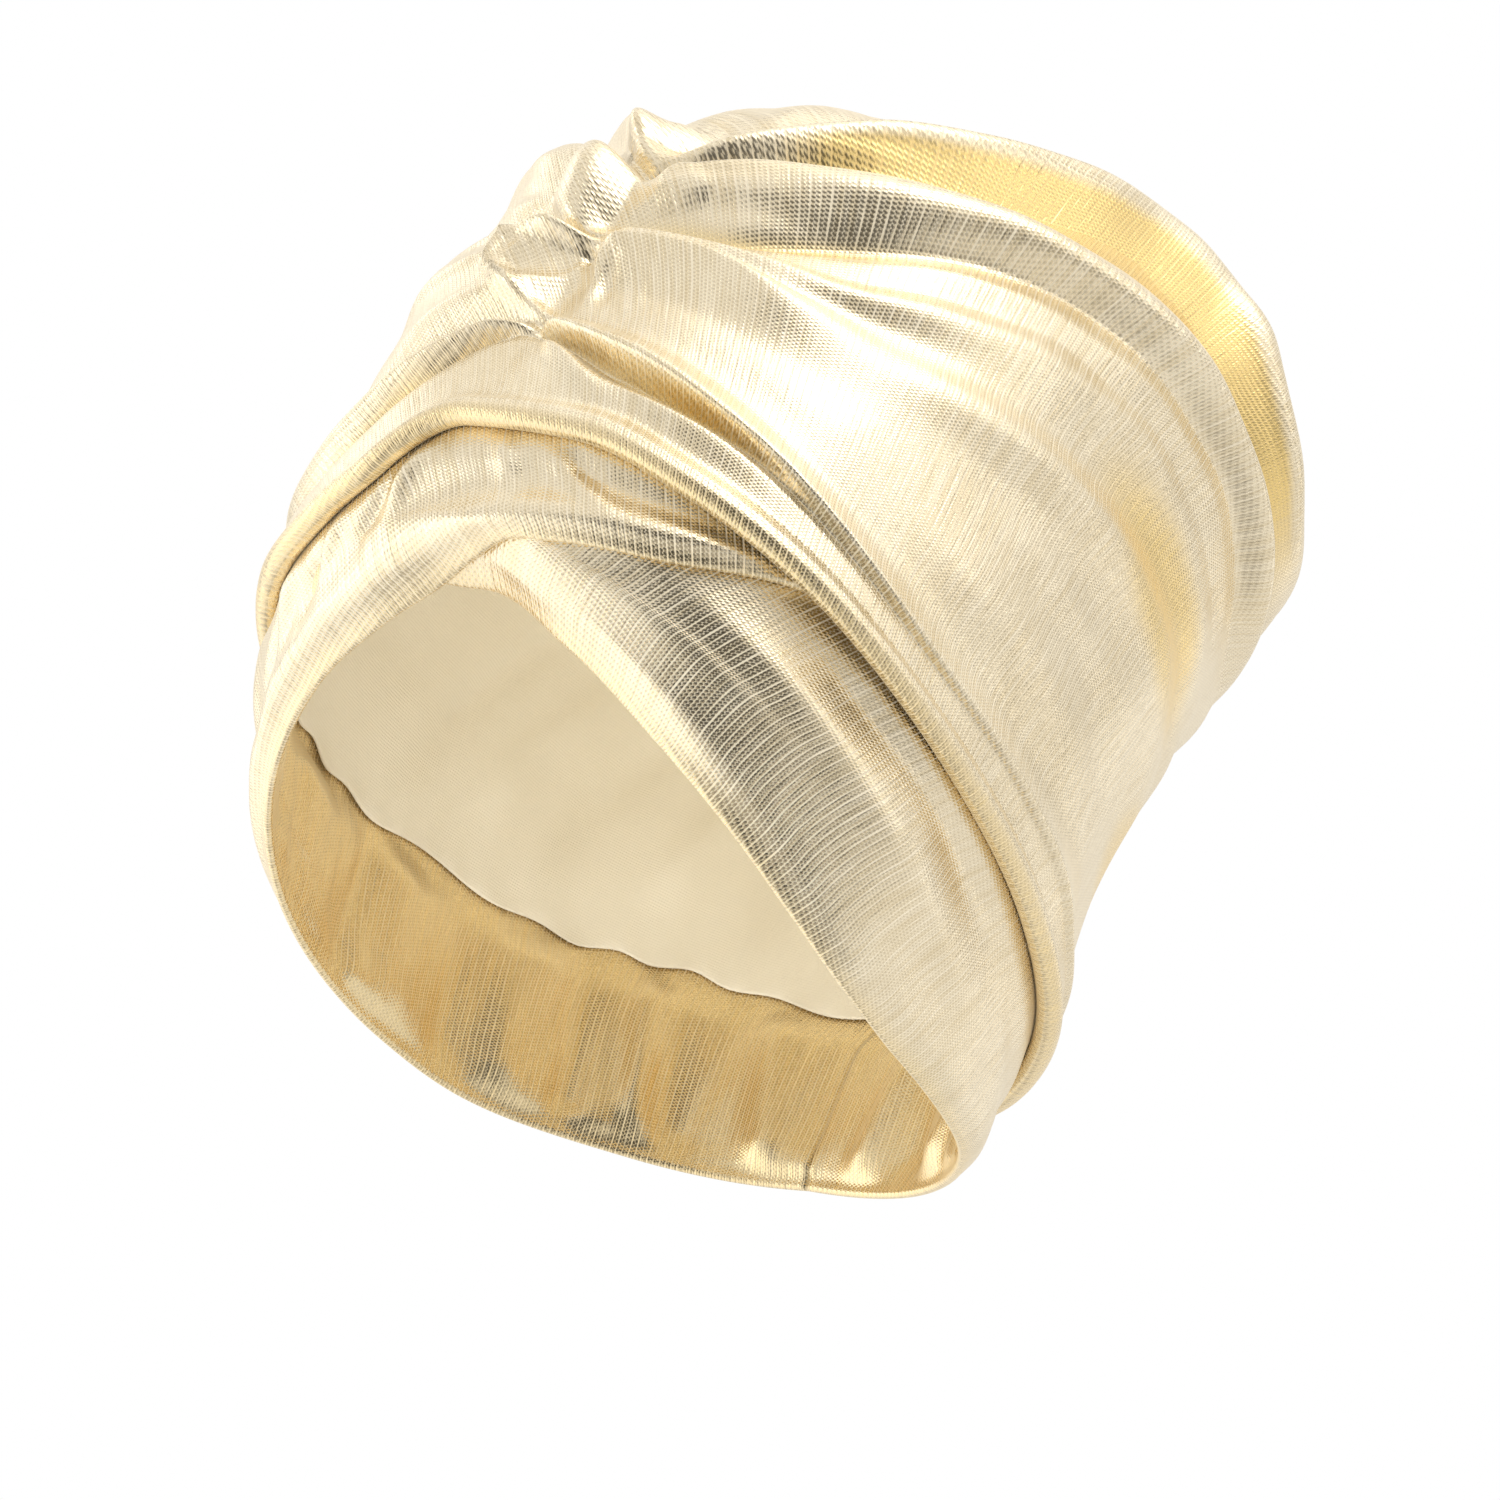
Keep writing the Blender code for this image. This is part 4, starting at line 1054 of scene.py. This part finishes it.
def knit_material(name):
    """Metallic rib knit: foil ribs, a pale thread in each groove, and small staggered stitches.

    Across the ribs, the distance from a rib's middle, shifted by noise, tells foil from
    thread. The stitches are the product of a wave along each rib, set half a stitch on
    from one rib to the next, and a wave of two to a rib across it; the holes between them
    get a painted shade. Cloth that is turned away shows more thread. A mesh attribute turns
    both golder with a painted reflection of the cloth beside deep folds, edges and inner
    faces, brushed along the ribs.
    """
    material, tree, shader = new_material(name)
    place, across, along = cloth_place_nodes(tree)
    maths = partial(calculate, tree)
    cloth_noise = partial(noise, tree, place)
    mix = partial(mix_colours, tree)
    shifted = maths("MULTIPLY_ADD", cloth_noise((60, 9, 0)), 0.0016, across)
    ribs_left = 1.0
    for start, share in RIBS_END:
        ribs_left = maths("MULTIPLY_ADD", maths("GREATER_THAN", along, start), -share, ribs_left)
    ribs = maths("MULTIPLY", maths("MULTIPLY", shifted, RIB_COUNT / TURN), ribs_left)
    from_middle = maths("ABSOLUTE", maths("SUBTRACT", maths("FRACT", ribs), 0.5))
    to_edge = maths("MULTIPLY", from_middle, 2.0)
    streaks = cloth_noise((1000, 60, 0), detail=3.0)
    slubs = cloth_noise((2200, 500, 0), detail=1.0)
    patches = cloth_noise((28, 20, 0), detail=3.0)
    crinkle = cloth_noise((420, 160, 0))

    # Foil, thread and holes of the knit, each as a share from 0 to 1; the holes carry a painted shade
    groove = smooth_range(tree, maths("MULTIPLY_ADD", streaks, 0.60, to_edge), 1.06, 1.26)
    stagger = maths("MULTIPLY", maths("FLOOR", maths("MULTIPLY", ribs, 2.0)), math.pi)
    stitch_along = maths("SINE", maths("MULTIPLY_ADD", along, math.tau / STITCH, stagger))
    stitch_across = maths("COSINE", maths("MULTIPLY", ribs, math.tau * 2))
    stitches = maths("MULTIPLY_ADD", stitch_across, -0.5, stitch_along)
    stitch_height = maths("MULTIPLY_ADD", slubs, 1.4, stitches)
    hole_shade_share = smooth_range(tree, stitch_height, 1.2, 2.1)
    pale_loops = smooth_range(tree, stitch_height, 0.45, -0.35)
    facing = new_node(tree, "ShaderNodeLayerWeight", {"Blend": 0.5}).outputs["Facing"]
    turned = smooth_range(tree, facing, 0.58, 0.97, 0.0, 0.42)
    threads = maths("MAXIMUM", maths("MULTIPLY", groove, 0.62), maths("MULTIPLY", pale_loops, 0.34))
    threads = maths("MAXIMUM", threads, turned)

    # Colours: tone that differs at random, a painted golden reflection in deep folds, and painted shade in
    # the holes
    tone = maths("MULTIPLY_ADD", streaks, 0.6, maths("MULTIPLY", patches, 0.4))
    tone = smooth_range(tree, tone, 0.38, 0.60)
    # Painted golden reflection from the mesh attribute, brushed along the ribs
    depth = new_node(tree, "ShaderNodeAttribute", {}, attribute_name="painted_reflection").outputs["Fac"]
    painted_reflection_share = smooth_range(tree, maths("MULTIPLY_ADD", streaks, 0.5, depth), 0.40, 1.15)
    foil = mix(painted_reflection_share, mix(tone, DARKER_FOIL, FOIL), PAINTED_REFLECTION_FOIL)
    # Painted shade in the holes of the mesh
    foil_with_hole_shade = mix(maths("MULTIPLY", hole_shade_share, 0.45), foil, HOLE_SHADE)
    wear = maths("MULTIPLY_ADD", patches, 0.10, 0.15)

    # Relief of the ribs and stitches
    height = maths("MULTIPLY", stitches, 0.22)
    reliefs = ((maths("POWER", to_edge, 2.0), -0.35), (slubs, 0.9), (crinkle, 1.3), (streaks, 0.9))
    for relief, amount in reliefs:
        height = maths("MULTIPLY_ADD", relief, amount, height)
    bump = new_node(tree, "ShaderNodeBump", {"Strength": 0.55, "Distance": 0.00016, "Height": height})
    fill(tree, shader, {
        "Base Color": mix(threads, foil_with_hole_shade, mix(painted_reflection_share, THREAD, PAINTED_REFLECTION_THREAD)),
        "Metallic": mix_values(tree, threads, 1.0, 0.1),
        "Roughness": mix_values(tree, threads, wear, 0.7),
        "Normal": bump.outputs[0],
        "Sheen Weight": 0.12,
        "Sheen Roughness": 0.45,
        "Sheen Tint": SHEEN,
    })
    return material


def lining_material(name):
    """Matte plain cloth: two crossed fine waves for the weave, with faint uneven tone."""
    material, tree, shader = new_material(name)
    place, across, along = cloth_place_nodes(tree)
    maths = partial(calculate, tree)
    warp = maths("SINE", maths("MULTIPLY", across, WEAVE))
    weft = maths("SINE", maths("MULTIPLY", along, WEAVE))
    mottle = noise(tree, place, (60, 60, 0), detail=3.0)
    grain = noise(tree, place, (1500, 1500, 0), detail=1.0)
    tone = maths("MULTIPLY_ADD", grain, 0.3, maths("MULTIPLY", mottle, 0.7))
    height = maths("MULTIPLY_ADD", warp, 0.5, maths("MULTIPLY", weft, 0.5))
    height = maths("ADD", grain, height)
    bump = new_node(tree, "ShaderNodeBump", {"Strength": 0.4, "Distance": 0.0001, "Height": height})
    fill(tree, shader, {
        "Base Color": mix_colours(tree, tone, LINING_SHADE, LINING),
        "Roughness": 0.9,
        "Sheen Weight": 0.2,
        "Normal": bump.outputs[0],
    })
    return material


gold_knit = knit_material("gold_knit")
gold_wrap = knit_material("gold_wrap")
beige_lining = lining_material("beige_lining")

crown = make_crown(gold_knit)
over_wrap = make_over_wrap(gold_wrap)
under_wrap = make_under_wrap(gold_wrap)
lining = make_lining(beige_lining)

PIECES = (
    # piece, CAD node, slot, width and length of the flat cloth in metres, its area, how it is held
    (crown, "crown", "gold_knit", (0.62, 0.27), 0.150, "gathered"),
    (over_wrap, "over_wrap", "gold_wrap", (0.41, 0.08), 0.019, "stretched"),
    (under_wrap, "under_wrap", "gold_wrap", (0.37, 0.07), 0.014, "stretched"),
    (lining, "lining", "beige_lining", (0.56, 0.20), 0.090, "stretched"),
)
for piece, node, slot, flat, area, held in PIECES:
    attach(piece, "root")
    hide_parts(node)

# Floor
FLOOR_Z = -0.62
FLOOR_HALF = 4.0
floor_corners = [(x * FLOOR_HALF, y * FLOOR_HALF, FLOOR_Z) for x, y in ((-1, -1), (1, -1), (1, 1), (-1, 1))]
floor_mesh = bpy.data.meshes.new("floor")
floor_mesh.from_pydata(floor_corners, [], [(0, 1, 2, 3)])
floor_white, floor_tree, floor_shader = new_material("floor_white")
fill(floor_tree, floor_shader, {"Base Color": FLOOR, "Roughness": 0.9})
floor_mesh.materials.append(floor_white)
floor = add_object("floor", floor_mesh)
floor.visible_glossy = False

# Light: a white room for the eye, and a soft studio with brighter and darker sides for the cloth
STUDIO_LEVEL = 0.82
STUDIO_DARKEST = 0.04
STUDIO_COLOUR = (1, 0.975, 0.94, 1)
STUDIO_SIDES = (
    # azimuth and height of the middle, angles of its full part and its rim, and what it adds
    (46, 50, 16, 30, 1.4),
    (-78, 16, 14, 46, 0.3),
    (10, 82, 18, 40, 0.45),
    (-86, -44, 26, 50, 0.6),
    (32, -20, 18, 37, -0.68),
    (76, -8, 8, 25, -0.37),
    (88, 14, 4, 14, 0.45),
    (40, -72, 18, 46, -0.34),
    (-130, -52, 14, 36, -0.3),
    (-50, -24, 4, 12, 1.0),
    (-27, -26, 4, 14, -0.35),
    (-72, -8, 4, 11, 0.8),
    (-52, 10, 5, 15, -0.45),
    (-92, 22, 5, 13, 0.8),
    (-74, 32, 4, 12, -0.4),
    (-110, 8, 4, 12, -0.4),
    (98, 36, 5, 14, 0.7),
    (113, 20, 3, 12, -0.5),
    (130, 16, 4, 11, 0.6),
    (147, 26, 4, 13, -0.42),
    (165, 14, 4, 12, 0.5),
)


def direction_to(azimuth, height):
    """Unit vector towards an azimuth and a height above the level, both in degrees."""
    turn = math.radians(azimuth)
    lift = math.radians(height)
    return (math.sin(turn) * math.cos(lift), -math.cos(turn) * math.cos(lift), math.sin(lift))


def make_world():
    """World that the camera sees as white, and the cloth sees as a soft studio."""
    world = bpy.data.worlds.new("studio")
    bpy.context.scene.world = world
    world.use_nodes = True
    tree = world.node_tree
    tree.nodes.clear()
    direction = new_node(tree, "ShaderNodeTexCoord", {}).outputs["Generated"]
    level = STUDIO_LEVEL
    for azimuth, height, full, rim, amount in STUDIO_SIDES:
        inputs = {0: direction, 1: direction_to(azimuth, height)}
        towards = new_node(tree, "ShaderNodeVectorMath", inputs, operation="DOT_PRODUCT").outputs["Value"]
        low, high = (math.cos(math.radians(angle)) for angle in (rim, full))
        level = calculate(tree, "ADD", smooth_range(tree, towards, low, high, 0.0, amount), level)
    level = calculate(tree, "MAXIMUM", level, STUDIO_DARKEST)
    studio = new_node(tree, "ShaderNodeBackground", {"Color": STUDIO_COLOUR, "Strength": level})
    white = new_node(tree, "ShaderNodeBackground", {"Color": (1, 1, 1, 1), "Strength": 1.0})
    seen = new_node(tree, "ShaderNodeLightPath", {}).outputs["Is Camera Ray"]
    mixed = new_node(tree, "ShaderNodeMixShader", {0: seen, 1: studio.outputs[0], 2: white.outputs[0]})
    new_node(tree, "ShaderNodeOutputWorld", {0: mixed.outputs[0]})


make_world()

LIGHTS = (
    # name, direction, distance, size, radiance
    ("key", (0.46, -0.44, 0.77), 1.4, 0.7, 1.6),
    ("fill", (0.15, -0.45, -0.88), 0.6, 0.6, 2.2),
)
TARGET = Vector((0, 0, 0.07))
for name, direction, distance, size, radiance in LIGHTS:
    lamp = bpy.data.lights.new(name, "AREA")
    lamp.shape = "DISK"
    lamp.size = size
    lamp.energy = radiance * math.pi * math.pi * (size / 2) ** 2
    light = add_object(name, lamp)
    away = Vector(direction).normalized()
    light.location = TARGET + away * distance
    light.rotation_mode = "QUATERNION"
    light.rotation_quaternion = away.to_track_quat("Z", "Y")
    light.visible_camera = False
    light.visible_glossy = name == "key"

# Camera at the photograph's place
CAMERA_AZIMUTH = math.radians(42)
CAMERA_CLIMB = math.radians(-22)
CAMERA_ROLL = math.radians(24.5)
CAMERA_DISTANCE = 1.0
IMAGE_SIZE = 1500
FOCAL_PIXELS = 4280
TARGET_PIXEL = (744, 708)
SENSOR = 36.0

camera = add_object("camera", bpy.data.cameras.new("camera"))
back = Vector((math.sin(CAMERA_AZIMUTH) * math.cos(CAMERA_CLIMB),
               -math.cos(CAMERA_AZIMUTH) * math.cos(CAMERA_CLIMB),
               math.sin(CAMERA_CLIMB)))
level_right = Vector((math.cos(CAMERA_AZIMUTH), math.sin(CAMERA_AZIMUTH), 0))
level_up = back.cross(level_right)
right = level_right * math.cos(CAMERA_ROLL) + level_up * math.sin(CAMERA_ROLL)
up = back.cross(right)
camera.matrix_world = Matrix((right, up, back)).transposed().to_4x4()
camera.location = TARGET + back * CAMERA_DISTANCE
camera.data.sensor_width = SENSOR
camera.data.lens = SENSOR * FOCAL_PIXELS / IMAGE_SIZE
camera.data.shift_x = 0.5 - TARGET_PIXEL[0] / IMAGE_SIZE
camera.data.shift_y = TARGET_PIXEL[1] / IMAGE_SIZE - 0.5
bpy.context.scene.camera = camera
bpy.context.scene.view_settings.view_transform = "Standard"
